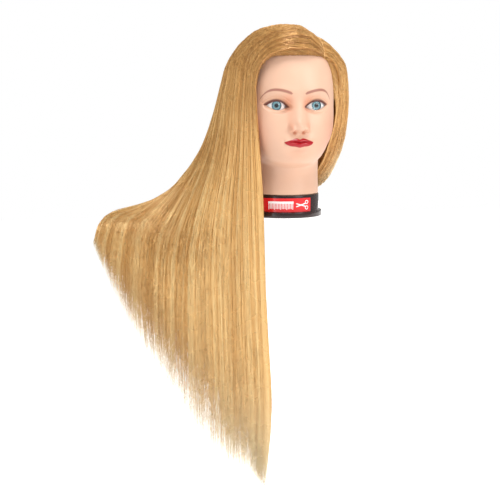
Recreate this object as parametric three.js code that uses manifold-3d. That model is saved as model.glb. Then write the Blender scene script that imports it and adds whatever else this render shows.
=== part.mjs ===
// Mannequin training head: a foam-filled vinyl head on a round plastic base, with long straight hair that is
// combed over from a side parting, laid to the head's right and hanging past the base.
// Millimetres, +Z up. The face looks along -Y, +X is the head's left, and the origin is the centre of the
// base's underside.
import * as THREE from "three";
import { mergeVertices } from "three/addons/utils/BufferGeometryUtils.js";
import Module from "manifold-3d";

const wasm = await Module();
wasm.setup();

// ---------------------------------------------------------------- driving dimensions
const GAP = 0.35; // clearance between pieces that touch
const SKIN_WALL = 4.5; // thickness of the vinyl

const BASE = {
  ringRadius: 55,
  flangeRadius: 60,
  flangeHeight: 8.5,
  height: 34.3,
  bore: 51.5, // inside radius of the ring above its ledge
  ledgeBore: 38,
  ledgeBottom: 5.5,
  ledgeTop: 12,
};
const PLATE = { radius: 50, bottom: 1.2, top: 5.1 };
const SOCKET = { bore: 10.5, wall: 3.5, depth: 62, footRadius: 22, footHeight: 2.5 };
const SCREW = { count: 4, circle: 44, headRadius: 3.4, headHeight: 1.6, shankRadius: 1.5, length: 9 };
const LABEL = {
  bottom: 9,
  height: 21.5,
  arc: THREE.MathUtils.degToRad(92),
  turn: THREE.MathUtils.degToRad(-13),
  thick: 0.4,
};
const EYE = {
  x: 30.5,
  y: -57.5,
  z: 172.5,
  radius: 15.5,
  irisRadius: 7.6,
  irisDepth: 11.5, // the printed disc's place ahead of the ball's centre
  toeOut: 0.06, // radians
  clearance: 0.9,
};
const HAIR = {
  thick: 9,
  tipThick: 3,
  underDrop: 11, // how far inside the outer sheet the under layers lie
  underThick: 6,
  scalpClearance: 2,
  parting: 1.2, // how far each section stops short of its edges
  acrossStep: 0.05, // size of a slab's cells, as a share of its sheet
  alongStep: 0.05,
};

// ---------------------------------------------------------------- the head's form
// Each row is one level of the head: how far it reaches forward and at what height, its half width and height,
// how far it reaches back and at what height, and the Y of its widest place. The first row is the crown.
const HEAD_LEVELS = [
  [-12, 287, 0, 287, 12, 287, 12],
  [12, 286, 24, 284.5, 34, 285, 12],
  [36, 280, 44, 277.5, 55, 277, 12],
  [57, 268, 60, 264, 75, 262, 10],
  [72, 251, 69.5, 247, 89, 240, 8],
  [80, 232, 73.5, 228, 96, 216, 6],
  [84, 212, 74.5, 208, 98, 194, 5],
  [85, 194, 74.5, 190, 94, 172, 4],
  [82, 176, 74.5, 172, 86, 152, 2],
  [83, 158, 74, 155, 76, 134, 0],
  [85, 141, 72.5, 139, 67, 118, -2],
  [87, 125, 68.5, 123, 61, 104, -3],
  [88, 110, 63, 112, 58, 92, -3],
  [87, 97, 59, 104, 56.5, 82, -2],
  [82, 86.5, 56, 99, 55.5, 74, 0],
  [67, 81, 54.2, 95, 55, 67, 0],
  [54, 77, 53.7, 88, 54.8, 61, 0],
  [51, 68, 53.4, 74, 54.6, 56, 0],
  [51.5, 56, 53.6, 58, 54.5, 50, 0],
  [53, 45, 54, 44, 54.4, 43, 0],
  [54, 36, 54, 36, 54, 36, 0],
];

function levelCurve(across, up) {
  const points = HEAD_LEVELS.map((row) => new THREE.Vector3(row[across], row[up], row[6]));
  return new THREE.CatmullRomCurve3(points);
}
const FRONT = levelCurve(0, 1);
const SIDE = levelCurve(2, 3);
const BACK = levelCurve(4, 5);

const bump = (value, centre, width) => Math.exp(-(((value - centre) / width) ** 2));

// How far the face stands out in front of the plain head at a place x, z.
function faceRelief(x, z) {
  const side = Math.abs(x);
  const bridge = THREE.MathUtils.clamp((186 - z) / 43, 0, 1);
  const underNose = THREE.MathUtils.smoothstep(z, 129, 139);
  const noseWidth = 7 + 5 * bridge;
  const nose = 15 * bridge ** 1.3 * underNose * bump(side, 0, noseWidth);
  const wings = 4 * bump(side, 11, 5) * bump(z, 138, 6);
  const sockets = -6 * bump(side, 31, 15) * bump(z, 175, 11);
  const brows = 2.5 * bump(side, 27, 18) * bump(z, 194, 8);
  const cheeks = 2.5 * bump(side, 42, 18) * bump(z, 150, 18);
  const lips = 5 * bump(side, 0, 21) * (bump(z, 121, 5) + bump(z, 112.5, 5));
  const chin = 3 * bump(side, 0, 16) * bump(z, 95, 9);
  return nose + wings + sockets + brows + cheeks + lips + chin;
}

// The point of the head at an angle from the face's middle and a share of the way from the crown to the neck.
function headPoint(angle, share, inset) {
  const front = FRONT.getPoint(share);
  const side = SIDE.getPoint(share);
  const back = BACK.getPoint(share);
  const ahead = Math.cos(angle);
  const across = Math.sin(angle);
  const facing = ahead > 0;
  const boxy = facing ? 2 + 0.4 * bump(share, 0.45, 0.22) : 2.1;
  const power = 2 / boxy;
  const centre = side.z;
  const reach = facing ? -(front.x + centre) : back.x - centre;
  const x = Math.sign(across) * side.x * Math.abs(across) ** power;
  const y = centre + reach * Math.abs(ahead) ** power;
  const z = side.y + ((facing ? front.y : back.y) - side.y) * ahead * ahead;
  const point = new THREE.Vector3(x, y, z);
  if (facing) point.y -= faceRelief(x, z) * Math.min(1, 2 * ahead);
  if (inset === 0) return point;
  const inward = new THREE.Vector3(-x, -(y - centre), z > 200 ? 200 - z : 0).normalize();
  return point.addScaledVector(inward, inset);
}

// ---------------------------------------------------------------- solids
function signedVolume(geometry) {
  const p = geometry.attributes.position;
  const index = geometry.index;
  const [a, b, c] = [new THREE.Vector3(), new THREE.Vector3(), new THREE.Vector3()];
  let sum = 0;
  for (let i = 0; i < index.count; i += 3) {
    a.fromBufferAttribute(p, index.getX(i));
    b.fromBufferAttribute(p, index.getX(i + 1));
    c.fromBufferAttribute(p, index.getX(i + 2));
    sum += a.dot(b.cross(c));
  }
  return sum / 6;
}

// A closed geometry as a solid for cutting and joining, turned to face outwards.
function solid(geometry) {
  const bare = geometry.clone();
  for (const name of Object.keys(bare.attributes)) if (name !== "position") bare.deleteAttribute(name);
  const merged = mergeVertices(bare, 1e-3);
  const triVerts = new Uint32Array(merged.index.array);
  if (signedVolume(merged) < 0) {
    for (let i = 0; i < triVerts.length; i += 3) {
      [triVerts[i + 1], triVerts[i + 2]] = [triVerts[i + 2], triVerts[i + 1]];
    }
  }
  return new wasm.Manifold(new wasm.Mesh({ numProp: 3, vertProperties: merged.attributes.position.array, triVerts }));
}

// The largest body of a cut solid, as a geometry.
function geometryOf(cut) {
  const bodies = cut.decompose();
  bodies.sort((a, b) => b.volume() - a.volume());
  const mesh = bodies[0].getMesh();
  const geometry = new THREE.BufferGeometry();
  geometry.setAttribute("position", new THREE.BufferAttribute(mesh.vertProperties, 3));
  geometry.setIndex(new THREE.BufferAttribute(mesh.triVerts, 1));
  geometry.computeVertexNormals();
  return geometry;
}

// A profile of [radius, height] points turned about the Z axis.
function turned(profile, segments) {
  const points = profile.map(([radius, height]) => new THREE.Vector2(radius, height));
  return new THREE.LatheGeometry(points, segments).rotateX(Math.PI / 2);
}

const cylinder = (radius, bottom, top, segments) =>
  turned([[0, bottom], [radius, bottom], [radius, top], [0, top]], segments);

// The head as one closed solid, inset from its outer surface, with a straight neck spigot down to a height.
function headSolid(inset, segments, rows, spigotRadius, spigotBottom) {
  const profile = [];
  for (let row = 0; row <= rows; row++) profile.push([row === 0 ? 0 : 1, -row]);
  profile.push([1, -rows - 1], [1, -rows - 2], [0, -rows - 3]);
  const geometry = turned(profile, segments);
  const position = geometry.attributes.position;
  for (let i = 0; i < position.count; i++) {
    const turn = (2 * Math.PI * (Math.floor(i / profile.length) % segments)) / segments;
    const angle = turn - 0.45 * Math.sin(turn);
    const row = i % profile.length;
    let point;
    if (row <= rows) {
      point = headPoint(angle, row / rows, inset);
      if (row === 0) point.set(0, 12, 287 - inset);
    } else {
      const radius = row === rows + 3 ? 0 : spigotRadius;
      const height = row === rows + 1 ? 34.8 : spigotBottom;
      point = new THREE.Vector3(radius * Math.sin(angle), -radius * Math.cos(angle), height);
    }
    position.setXYZ(i, point.x, point.y, point.z);
  }
  return solid(geometry);
}

const group = new THREE.Group();

function addPiece(name, shape, material) {
  const mesh = new THREE.Mesh(geometryOf(shape), material);
  mesh.name = name;
  group.add(mesh);
  return mesh;
}

const finish = (color, roughness, metalness = 0) => new THREE.MeshStandardMaterial({ color, roughness, metalness });
const VINYL = finish(0xf8d8bc, 0.5);
const FOAM = finish(0xe8e0c8, 0.95);
const EYE_WHITE = finish(0xf6f4f0, 0.12);
const IRIS = finish(0x6a98ae, 0.4);
const CORNEA = new THREE.MeshStandardMaterial({ color: 0xffffff, roughness: 0.03, transparent: true, opacity: 0.3 });
const DARK_PLASTIC = finish(0x35282a, 0.22);
const GREY_PLASTIC = finish(0x2c2c2e, 0.5);
const STEEL = finish(0xb9bcc0, 0.35, 1);
const RED_LABEL = finish(0xd8242c, 0.3);
const HAIR_FIBRE = finish(0xdcb475, 0.4);

// ---------------------------------------------------------------- eyes
// Each eye looks along its own -Y, a little outwards: a white ball with a flat-bottomed pocket, a printed disc
// in the pocket, and a clear dome over the disc.
const eyePlaces = [
  ["right", -1],
  ["left", 1],
].map(([name, sign]) => ({
  name,
  turn: new THREE.Matrix4()
    .makeTranslation(sign * EYE.x, EYE.y, EYE.z)
    .multiply(new THREE.Matrix4().makeRotationZ(sign * EYE.toeOut)),
}));

// A profile about the eye's own line of sight.
function eyeTurned(profile, segments, place) {
  return turned(profile, segments).rotateX(Math.PI / 2).applyMatrix4(place.turn);
}

const ballArc = (radius, from, to, steps) =>
  Array.from({ length: steps + 1 }, (_, i) => {
    const angle = from + ((to - from) * i) / steps;
    return [radius * Math.sin(angle), radius * Math.cos(angle)];
  });

function addEye(place) {
  const pocketAngle = Math.asin(EYE.irisRadius / EYE.radius);
  const white = [[0, EYE.irisDepth], [EYE.irisRadius, EYE.irisDepth]];
  white.push(...ballArc(EYE.radius, pocketAngle, Math.PI, 9).slice(0, -1), [0, -EYE.radius]);
  addPiece(`eye_white_${place.name}`, solid(eyeTurned(white, 20, place)), EYE_WHITE);

  const discRadius = EYE.irisRadius - GAP;
  const discBottom = EYE.irisDepth + GAP;
  const discTop = discBottom + 0.5;
  const disc = [[0, discBottom], [discRadius, discBottom], [discRadius, discTop], [0, discTop]];
  addPiece(`iris_${place.name}`, solid(eyeTurned(disc, 20, place)), IRIS);

  const domeBottom = discTop + GAP;
  const dome = [[0, domeBottom], [discRadius, domeBottom]];
  const domeAngle = Math.asin(discRadius / EYE.radius);
  const shell = ballArc(EYE.radius, domeAngle, 0, 4).map(([radius, height]) => [radius, height + 0.4]);
  shell[shell.length - 1][0] = 0;
  addPiece(`cornea_${place.name}`, solid(eyeTurned([...dome, ...shell], 20, place)), CORNEA);
}
eyePlaces.forEach(addEye);

// The almond-shaped way through the skin in front of an eye, and the ball's own pocket behind it.
function eyeOpening(place, clearance) {
  const almond = new THREE.Shape();
  almond.moveTo(-15.5, -2.5);
  almond.quadraticCurveTo(0, 18, 15.5, 0.5);
  almond.quadraticCurveTo(0, -12, -15.5, -2.5);
  const sign = Math.sign(place.turn.elements[12]);
  const prism = new THREE.ExtrudeGeometry(almond, { depth: 40, bevelEnabled: false, curveSegments: 6 });
  prism.scale(sign, 1, 1);
  prism.rotateX(Math.PI / 2).translate(sign * EYE.x, EYE.y, EYE.z);
  const ball = new THREE.SphereGeometry(EYE.radius + clearance, 20, 14).applyMatrix4(place.turn);
  return solid(ball).add(solid(prism));
}

// ---------------------------------------------------------------- head skin and foam core
const outer = headSolid(0, 40, 40, BASE.bore - GAP, 13);
const hollow = headSolid(SKIN_WALL, 18, 20, BASE.bore - 3, 5);
const core = headSolid(SKIN_WALL + GAP, 18, 20, BASE.bore - 3 - GAP, 13);
const pockets = eyePlaces.map((place) => eyeOpening(place, EYE.clearance));
const socketHole = solid(cylinder(SOCKET.bore + SOCKET.wall + GAP, 0, SOCKET.depth + SOCKET.wall + 6, 24));

let skin = outer.subtract(hollow);
let foam = core.subtract(socketHole);
for (const pocket of pockets) {
  skin = skin.subtract(pocket);
  foam = foam.subtract(pocket);
}
addPiece("head_skin", skin, VINYL);
addPiece("foam_core", foam, FOAM);

// ---------------------------------------------------------------- base
const screwPlaces = Array.from({ length: SCREW.count }, (_, i) => {
  const angle = (Math.PI / 4) + (2 * Math.PI * i) / SCREW.count;
  return [SCREW.circle * Math.cos(angle), SCREW.circle * Math.sin(angle)];
});

const ringProfile = [
  [BASE.ledgeBore, BASE.ledgeBottom],
  [PLATE.radius + GAP, BASE.ledgeBottom],
  [PLATE.radius + GAP, 0],
  [BASE.flangeRadius - 1, 0],
  [BASE.flangeRadius, 1],
  [BASE.flangeRadius, BASE.flangeHeight - 2],
  [BASE.flangeRadius - 2, BASE.flangeHeight],
  [BASE.ringRadius, BASE.flangeHeight],
  [BASE.ringRadius, BASE.height - 1],
  [BASE.ringRadius - 1, BASE.height],
  [BASE.bore, BASE.height],
  [BASE.bore, BASE.ledgeTop],
  [BASE.ledgeBore, BASE.ledgeTop],
  [BASE.ledgeBore, BASE.ledgeBottom],
];
let ring = solid(turned(ringProfile, 48));
let plate = solid(turned([
  [SOCKET.bore + SOCKET.wall + GAP, PLATE.bottom],
  [PLATE.radius, PLATE.bottom],
  [PLATE.radius, PLATE.top],
  [SOCKET.bore + SOCKET.wall + GAP, PLATE.top],
  [SOCKET.bore + SOCKET.wall + GAP, PLATE.bottom],
], 48));
for (const [x, y] of screwPlaces) {
  const hole = cylinder(SCREW.shankRadius + GAP, -1, SCREW.length + 1, 10).translate(x, y, 0);
  const sink = cylinder(SCREW.headRadius + GAP, -1, PLATE.bottom + SCREW.headHeight, 12).translate(x, y, 0);
  ring = ring.subtract(solid(hole));
  plate = plate.subtract(solid(hole).add(solid(sink)));
}
addPiece("neck_ring", ring, DARK_PLASTIC);
addPiece("base_plate", plate, GREY_PLASTIC);

const socketOuter = SOCKET.bore + SOCKET.wall;
const socketProfile = [
  [SOCKET.bore, PLATE.bottom],
  [socketOuter, PLATE.bottom],
  [socketOuter, PLATE.top + GAP],
  [SOCKET.footRadius, PLATE.top + GAP],
  [SOCKET.footRadius, PLATE.top + GAP + SOCKET.footHeight],
  [socketOuter, PLATE.top + GAP + SOCKET.footHeight],
  [socketOuter, SOCKET.depth + SOCKET.wall],
  [0, SOCKET.depth + SOCKET.wall],
  [0, SOCKET.depth],
  [SOCKET.bore, SOCKET.depth],
  [SOCKET.bore, PLATE.bottom],
];
addPiece("clamp_socket", solid(turned(socketProfile, 24)), GREY_PLASTIC);

screwPlaces.forEach(([x, y], i) => {
  const screw = turned([
    [0, 0],
    [SCREW.headRadius, 0],
    [SCREW.headRadius, SCREW.headHeight],
    [SCREW.shankRadius, SCREW.headHeight],
    [SCREW.shankRadius, SCREW.length - 1.5],
    [0, SCREW.length],
  ], 10);
  addPiece(`base_screw_${i + 1}`, solid(screw), STEEL).position.set(x, y, PLATE.bottom - GAP);
});

// The label: a thin plate bent round the ring, so its radius grows by the gap and the film's thickness.
const labelSheet = new THREE.BoxGeometry(1, 1, 1, 18, 1, 1);
const labelPosition = labelSheet.attributes.position;
for (let i = 0; i < labelPosition.count; i++) {
  const angle = LABEL.turn + LABEL.arc * labelPosition.getX(i);
  const radius = BASE.ringRadius + GAP + LABEL.thick * (0.5 - labelPosition.getZ(i));
  const height = LABEL.bottom + LABEL.height * (0.5 + labelPosition.getY(i));
  labelPosition.setXYZ(i, radius * Math.sin(angle), -radius * Math.cos(angle), height);
}
addPiece("label", solid(labelSheet), RED_LABEL);

// ---------------------------------------------------------------- hair
// Long hair runs from the parting over the head and falls to the head's right. Each guide is one lock, root
// to tip, as X, Y, Z points at the same stations; the first is the front edge and the last the back's middle.
const FALL_GUIDES = [
  [[44, -66, 250], [8, -88, 257], [-43, -83, 249], [-62, -72, 224], [-64, -73, 168], [-56, -68, 100],
    [-50, -65, 30], [-48, -66, -45], [-44, -66, -160], [-36, -67, -300], [-46, -65, -434]],
  [[46, -60, 260], [14, -74, 281], [-32, -70, 274], [-66, -56, 246], [-74, -55, 190], [-77, -57, 100],
    [-78, -57, 28], [-77, -58, -45], [-74, -59, -160], [-70, -60, -290], [-68, -60, -408]],
  [[47, -45, 273], [8, -46, 294], [-40, -43, 284], [-78, -32, 248], [-88, -36, 195], [-96, -39, 102],
    [-109, -42, 26], [-117, -48, -45], [-115, -49, -155], [-112, -49, -280], [-111, -49, -383]],
  [[46, -20, 282], [4, -18, 297], [-44, -15, 288], [-84, -8, 248], [-97, -4, 195], [-112, -10, 103],
    [-137, -20, 27], [-154, -36, -43], [-159, -37, -140], [-158, -37, -236], [-156, -37, -335]],
  [[44, 8, 286], [0, 12, 297], [-47, 14, 287], [-86, 20, 244], [-102, 26, 182], [-123, 28, 95],
    [-163, 17, 24], [-196, -18, -32], [-204, -26, -110], [-204, -26, -180], [-200, -26, -257]],
  [[42, 32, 282], [-2, 42, 291], [-46, 50, 276], [-82, 55, 230], [-100, 57, 170], [-129, 57, 92],
    [-187, 48, 24], [-237, -2, -10], [-249, -15, -67], [-251, -16, -125], [-248, -16, -180]],
  [[38, 45, 278], [0, 69, 278], [-38, 86, 253], [-62, 96, 205], [-84, 92, 150], [-120, 86, 85],
    [-195, 68, 20], [-274, 12, 0], [-288, -1, -30], [-291, -2, -55], [-291, -2, -78]],
  [[31, 56, 276], [28, 87, 263], [14, 107, 232], [-8, 113, 188], [-34, 106, 140], [-80, 102, 80],
    [-180, 92, 22], [-272, 46, 6], [-294, 16, -10], [-300, 6, -26], [-305, 4, -40]],
];
// The hair of the head's left side goes down from the parting, back behind the neck and over to the right.
const LEFT_GUIDES = [
  [[52, -59, 248], [66, -55, 238], [78, -40, 214], [81, -24, 185], [82, -8, 150], [78, 12, 112],
    [72, 36, 76], [52, 64, 44], [-34, 82, 19], [-120, 62, 8], [-180, 36, 3]],
  [[50, -38, 272], [70, -36, 258], [92, -26, 236], [101, -14, 200], [105, -3, 165], [104, 12, 116],
    [98, 34, 79], [80, 58, 40], [6, 92, 21], [-110, 80, 9], [-200, 46, 3]],
  [[49, -5, 284], [73, 4, 265], [93, 14, 238], [101, 26, 195], [102, 38, 150], [98, 50, 110],
    [88, 68, 74], [60, 88, 47], [-18, 105, 24], [-130, 92, 9], [-225, 56, 3]],
  [[43, 34, 281], [65, 50, 259], [80, 68, 228], [83, 80, 185], [78, 88, 140], [60, 96, 95],
    [30, 104, 62], [-16, 108, 40], [-90, 108, 20], [-170, 98, 9], [-250, 62, 3]],
  [[33, 57, 275], [30, 84, 260], [12, 100, 230], [-10, 102, 190], [-42, 98, 140], [-86, 92, 90],
    [-130, 86, 52], [-170, 80, 26], [-210, 68, 13], [-245, 54, 8], [-268, 40, 4]],
];

const lockCurves = (guides) =>
  guides.map((points) => new THREE.CatmullRomCurve3(points.map(([x, y, z]) => new THREE.Vector3(x, y, z))));

// The place on a sheet of locks: across it from the first guide to the last, and along it from root to tip.
function sheetPoint(curves, across, along) {
  const row = curves.map((curve) => curve.getPoint(along));
  return new THREE.CatmullRomCurve3(row).getPoint(across);
}

// The directions across the sheet, along its locks and out of its face at a place.
function sheetFrame(curves, across, along) {
  const step = 0.01;
  const [u0, u1] = [Math.max(0, across - step), Math.min(1, across + step)];
  const [v0, v1] = [Math.max(0, along - step), Math.min(1, along + step)];
  const over = sheetPoint(curves, u1, along).sub(sheetPoint(curves, u0, along)).normalize();
  const down = sheetPoint(curves, across, v1).sub(sheetPoint(curves, across, v0)).normalize();
  return { over, down, out: over.clone().cross(down).normalize() };
}

const scalp = new THREE.Mesh(geometryOf(headSolid(0, 40, 40, BASE.bore, 13)));
const ray = new THREE.Raycaster();

// How deep a slab may reach inwards from a place before it comes near the scalp.
function roomAbove(place, inward, wanted) {
  ray.set(place, inward);
  const hit = ray.intersectObject(scalp)[0];
  return hit ? Math.min(wanted, hit.distance - HAIR.scalpClearance) : wanted;
}

// A slab of hair: part of a sheet, as thick as given at its root and thinner at its tips. It lies inside the
// sheet by drop, and grown enlarges it on every side to cut its neighbour back.
function hairSlab(curves, [u0, u1], [v0, v1], { drop = 0, thick = HAIR.thick, outwards = 1, grown = 0 }) {
  const cells = [Math.round((u1 - u0) / HAIR.acrossStep), Math.round((v1 - v0) / HAIR.alongStep)];
  const geometry = new THREE.BoxGeometry(1, 1, 1, cells[0], cells[1], 1);
  const position = geometry.attributes.position;
  const edge = (value, amount) => (Math.abs(value) > 0.499 ? Math.sign(value) * amount : 0);
  for (let i = 0; i < position.count; i++) {
    const across = THREE.MathUtils.lerp(u0, u1, position.getX(i) + 0.5);
    const along = THREE.MathUtils.lerp(v0, v1, position.getY(i) + 0.5);
    const frame = sheetFrame(curves, across, along);
    frame.out.multiplyScalar(outwards);
    const here = sheetPoint(curves, across, along);
    const thinning = THREE.MathUtils.smoothstep(along, 0.6, 1);
    const wanted = drop + THREE.MathUtils.lerp(thick, HAIR.tipThick, thinning);
    const depth = roomAbove(here, frame.out.clone().negate(), wanted);
    here
      .addScaledVector(frame.out, position.getZ(i) > 0 ? grown - drop : -depth - grown)
      .addScaledVector(frame.over, edge(position.getX(i), grown - HAIR.parting))
      .addScaledVector(frame.down, edge(position.getY(i), grown));
    position.setXYZ(i, here.x, here.y, here.z);
  }
  return solid(geometry);
}

const fall = lockCurves(FALL_GUIDES);
const leftSide = lockCurves(LEFT_GUIDES);

const FALL_SECTIONS = [
  ["hair_front_section", [0, 0.2], [0, 1], {}],
  ["hair_top_section", [0.2, 0.45], [0, 1], {}],
  ["hair_crown_section", [0.45, 0.7], [0, 1], {}],
  ["hair_back_section", [0.7, 1], [0, 1], {}],
  ["hair_under_right", [0.1, 0.4], [0.5, 0.9], { drop: HAIR.underDrop, thick: HAIR.underThick }],
  ["hair_nape_section", [0.7, 0.9], [0.45, 0.7], { drop: HAIR.underDrop, thick: HAIR.underThick }],
];
let left = hairSlab(leftSide, [0, 1], [0, 1], { outwards: -1 });
for (const [name, across, along, layer] of FALL_SECTIONS) {
  const slab = hairSlab(fall, across, along, layer);
  addPiece(name, slab, HAIR_FIBRE);
  left = left.subtract(slab).subtract(hairSlab(fall, across, along, { ...layer, grown: 2 * GAP }));
}
addPiece("hair_left_section", left, HAIR_FIBRE);

export default group;
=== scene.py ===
# %% [markdown]
# # A mannequin training head for hairdressers
# A training head is a foam-filled vinyl head on a plastic neck ring. Its hair is punched into the scalp,
# combed over from a side parting and left to hang. The CAD model already fixes the sizes and the places of
# every piece. This lesson loads it as a frame and builds the finished surfaces around it.

# %% Imports and the frame
import math

import bmesh
import bpy
import numpy as np
from mathutils import Matrix, Vector


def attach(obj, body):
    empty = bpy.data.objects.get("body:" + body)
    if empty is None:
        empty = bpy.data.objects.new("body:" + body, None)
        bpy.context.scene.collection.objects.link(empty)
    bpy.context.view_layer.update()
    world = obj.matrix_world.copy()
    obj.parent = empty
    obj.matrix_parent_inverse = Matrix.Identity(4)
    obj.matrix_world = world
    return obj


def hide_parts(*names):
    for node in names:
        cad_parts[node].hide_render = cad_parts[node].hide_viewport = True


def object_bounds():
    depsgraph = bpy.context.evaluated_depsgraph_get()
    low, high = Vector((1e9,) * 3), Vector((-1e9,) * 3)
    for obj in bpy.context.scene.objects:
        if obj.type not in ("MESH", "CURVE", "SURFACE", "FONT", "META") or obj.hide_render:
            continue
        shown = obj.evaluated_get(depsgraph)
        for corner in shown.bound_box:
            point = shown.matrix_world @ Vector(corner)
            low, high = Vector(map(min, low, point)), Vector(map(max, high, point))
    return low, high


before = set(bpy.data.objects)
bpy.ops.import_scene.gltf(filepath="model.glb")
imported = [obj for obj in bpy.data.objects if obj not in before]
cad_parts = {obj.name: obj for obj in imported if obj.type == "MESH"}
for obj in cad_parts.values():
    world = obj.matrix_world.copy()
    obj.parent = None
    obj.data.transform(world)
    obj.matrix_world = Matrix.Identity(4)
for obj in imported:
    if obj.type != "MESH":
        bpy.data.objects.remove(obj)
cad_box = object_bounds()
MM = 0.001  # dimensions below are in millimetres, as on the CAD model's drawing
print("CAD box:", [round(value, 3) for corner in cad_box for value in corner])

# %% [markdown]
# ## Camera
# The camera comes first, so that every later step can be judged through it. A portrait head is looked at
# with a long lens from a little above, and slightly from its right-hand side. Aiming at a point between the
# head and the hair's tips keeps both in the picture.

# %% The camera
VIEW_AZIMUTH = math.radians(-13)
VIEW_ELEVATION = math.radians(8.5)
VIEW_DISTANCE = 1.6
AIM = Vector((-0.053, 0.0122, -0.0583))


def direction(azimuth, elevation):
    """The unit vector towards a viewer at these angles; azimuth 0 is in front of the face."""
    flat = math.cos(elevation)
    return Vector((math.sin(azimuth) * flat, -math.cos(azimuth) * flat, math.sin(elevation)))


scene = bpy.context.scene
camera = bpy.data.objects.new("camera", bpy.data.cameras.new("camera"))
scene.collection.objects.link(camera)
camera.data.lens = 71.4
camera.data.sensor_width = 36
towards_camera = direction(VIEW_AZIMUTH, VIEW_ELEVATION)
camera.location = AIM + towards_camera * VIEW_DISTANCE
camera.rotation_euler = (-towards_camera).to_track_quat("-Z", "Y").to_euler()
scene.camera = camera
print("camera at", [round(value, 3) for value in camera.location])

# %% [markdown]
# ## Light
# Product light is soft: a white room with large softboxes. The world is the white room. Its strength for
# the camera is 1, so the background is clean white, and lower for the light it gives, so that the
# softboxes still model the forms.

# %% World and softboxes
ROOM_LIGHT = 0.44


def white_room():
    world = bpy.data.worlds.new("white_room")
    world.use_nodes = True
    nodes, links = world.node_tree.nodes, world.node_tree.links
    background = nodes["Background"]
    background.inputs["Color"].default_value = (1, 1, 1, 1)
    seen = nodes.new("ShaderNodeLightPath")
    strength = nodes.new("ShaderNodeMapRange")
    strength.inputs["To Min"].default_value = ROOM_LIGHT
    strength.inputs["To Max"].default_value = 1
    links.new(seen.outputs["Is Camera Ray"], strength.inputs["Value"])
    links.new(strength.outputs["Result"], background.inputs["Strength"])
    scene.world = world


def softbox(name, azimuth, elevation, distance, size, power, aim=(0, 0, 0.12)):
    """A square area light that looks at a point near the face."""
    light = bpy.data.objects.new(name, bpy.data.lights.new(name, "AREA"))
    scene.collection.objects.link(light)
    back = direction(math.radians(azimuth), math.radians(elevation))
    light.location = Vector(aim) + back * distance
    light.rotation_euler = (-back).to_track_quat("-Z", "Y").to_euler()
    light.data.size = size
    light.data.energy = power
    return light


white_room()
softbox("key_softbox", 36, 20, 1.7, 0.7, 12)
softbox("fill_softbox", -58, -2, 2.2, 1.2, 7)
softbox("top_softbox", -4, 62, 1.5, 0.6, 13)
softbox("back_softbox", 150, 40, 1.8, 0.8, 10)
scene.view_settings.view_transform = "Standard"

# %% [markdown]
# ## Floor
# The floor lies just under the hair's tips. A thin white shelf lies under the base. Both are
# stage pieces, which do not belong to the object.

# %% Floor and shelf
FLOOR_GAP = 0.03
STAGE_GLOW = 0.58  # lifts the floor to the room's white, so that only shadows show on it
SHELF = {"low": (-0.05, -0.062, -0.003), "high": (0.2, 0.2, -0.0004)}


def matt_white(name, level):
    material = bpy.data.materials.new(name)
    material.use_nodes = True
    surface = material.node_tree.nodes["Principled BSDF"]
    surface.inputs["Base Color"].default_value = (level, level, level, 1)
    surface.inputs["Roughness"].default_value = 0.9
    surface.inputs["Specular IOR Level"].default_value = 0.0
    surface.inputs["Emission Color"].default_value = (1, 1, 1, 1)
    surface.inputs["Emission Strength"].default_value = STAGE_GLOW
    return material


def stage_box(name, low, high, material):
    shape = bmesh.new()
    bmesh.ops.create_cube(shape, size=1)
    low, high = Vector(low), Vector(high)
    bmesh.ops.scale(shape, vec=high - low, verts=shape.verts)
    bmesh.ops.translate(shape, vec=(low + high) / 2, verts=shape.verts)
    mesh = bpy.data.meshes.new(name)
    shape.to_mesh(mesh)
    shape.free()
    mesh.materials.append(material)
    stage_piece = bpy.data.objects.new(name, mesh)
    scene.collection.objects.link(stage_piece)


floor_top = cad_box[0].z - FLOOR_GAP
stage_white = matt_white("stage_white", 0.96)
stage_box("floor", (-4, -4, floor_top - 0.01), (4, 4, floor_top), stage_white)
stage_box("shelf", SHELF["low"], SHELF["high"], stage_white)
print("floor at", round(floor_top, 3))

# %% [markdown]
# ## From a bmesh to a piece
# Every piece goes through the same door: its mesh is finished, given smooth shading with sharp edges kept,
# a material and a place on the CAD body, and the CAD nodes that it stands for are hidden.

# %% The piece maker
SHARP = math.radians(40)
made_pieces = []


def finish_piece(name, mesh, material, nodes, sharp=SHARP):
    mesh.shade_smooth()
    mesh.set_sharp_from_angle(angle=sharp)
    mesh.materials.clear()
    mesh.materials.append(material)
    piece = bpy.data.objects.new(name, mesh)
    scene.collection.objects.link(piece)
    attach(piece, "root")
    if nodes:
        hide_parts(*nodes)
    made_pieces.append(piece)
    print(f"{name}: {len(mesh.polygons)} faces, stands for {', '.join(nodes) or 'detail'}")
    return piece


def piece_from(name, shape, material, nodes=(), sharp=SHARP):
    mesh = bpy.data.meshes.new(name)
    shape.to_mesh(mesh)
    shape.free()
    return finish_piece(name, mesh, material, nodes, sharp)


# %% [markdown]
# ## Shared shader groups
# Moulded vinyl and plastic both have a fine skin texture and slow changes in gloss. One node group makes
# those two values from Object coordinates, and each material gives it its own grain size. A group may
# only put out values, so the Principled shader stays in each material.

# %% The moulded grain group


def group_socket(group, name, direction_word, kind, value=None):
    socket = group.interface.new_socket(name, in_out=direction_word, socket_type=kind)
    if value is not None:
        socket.default_value = value


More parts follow.
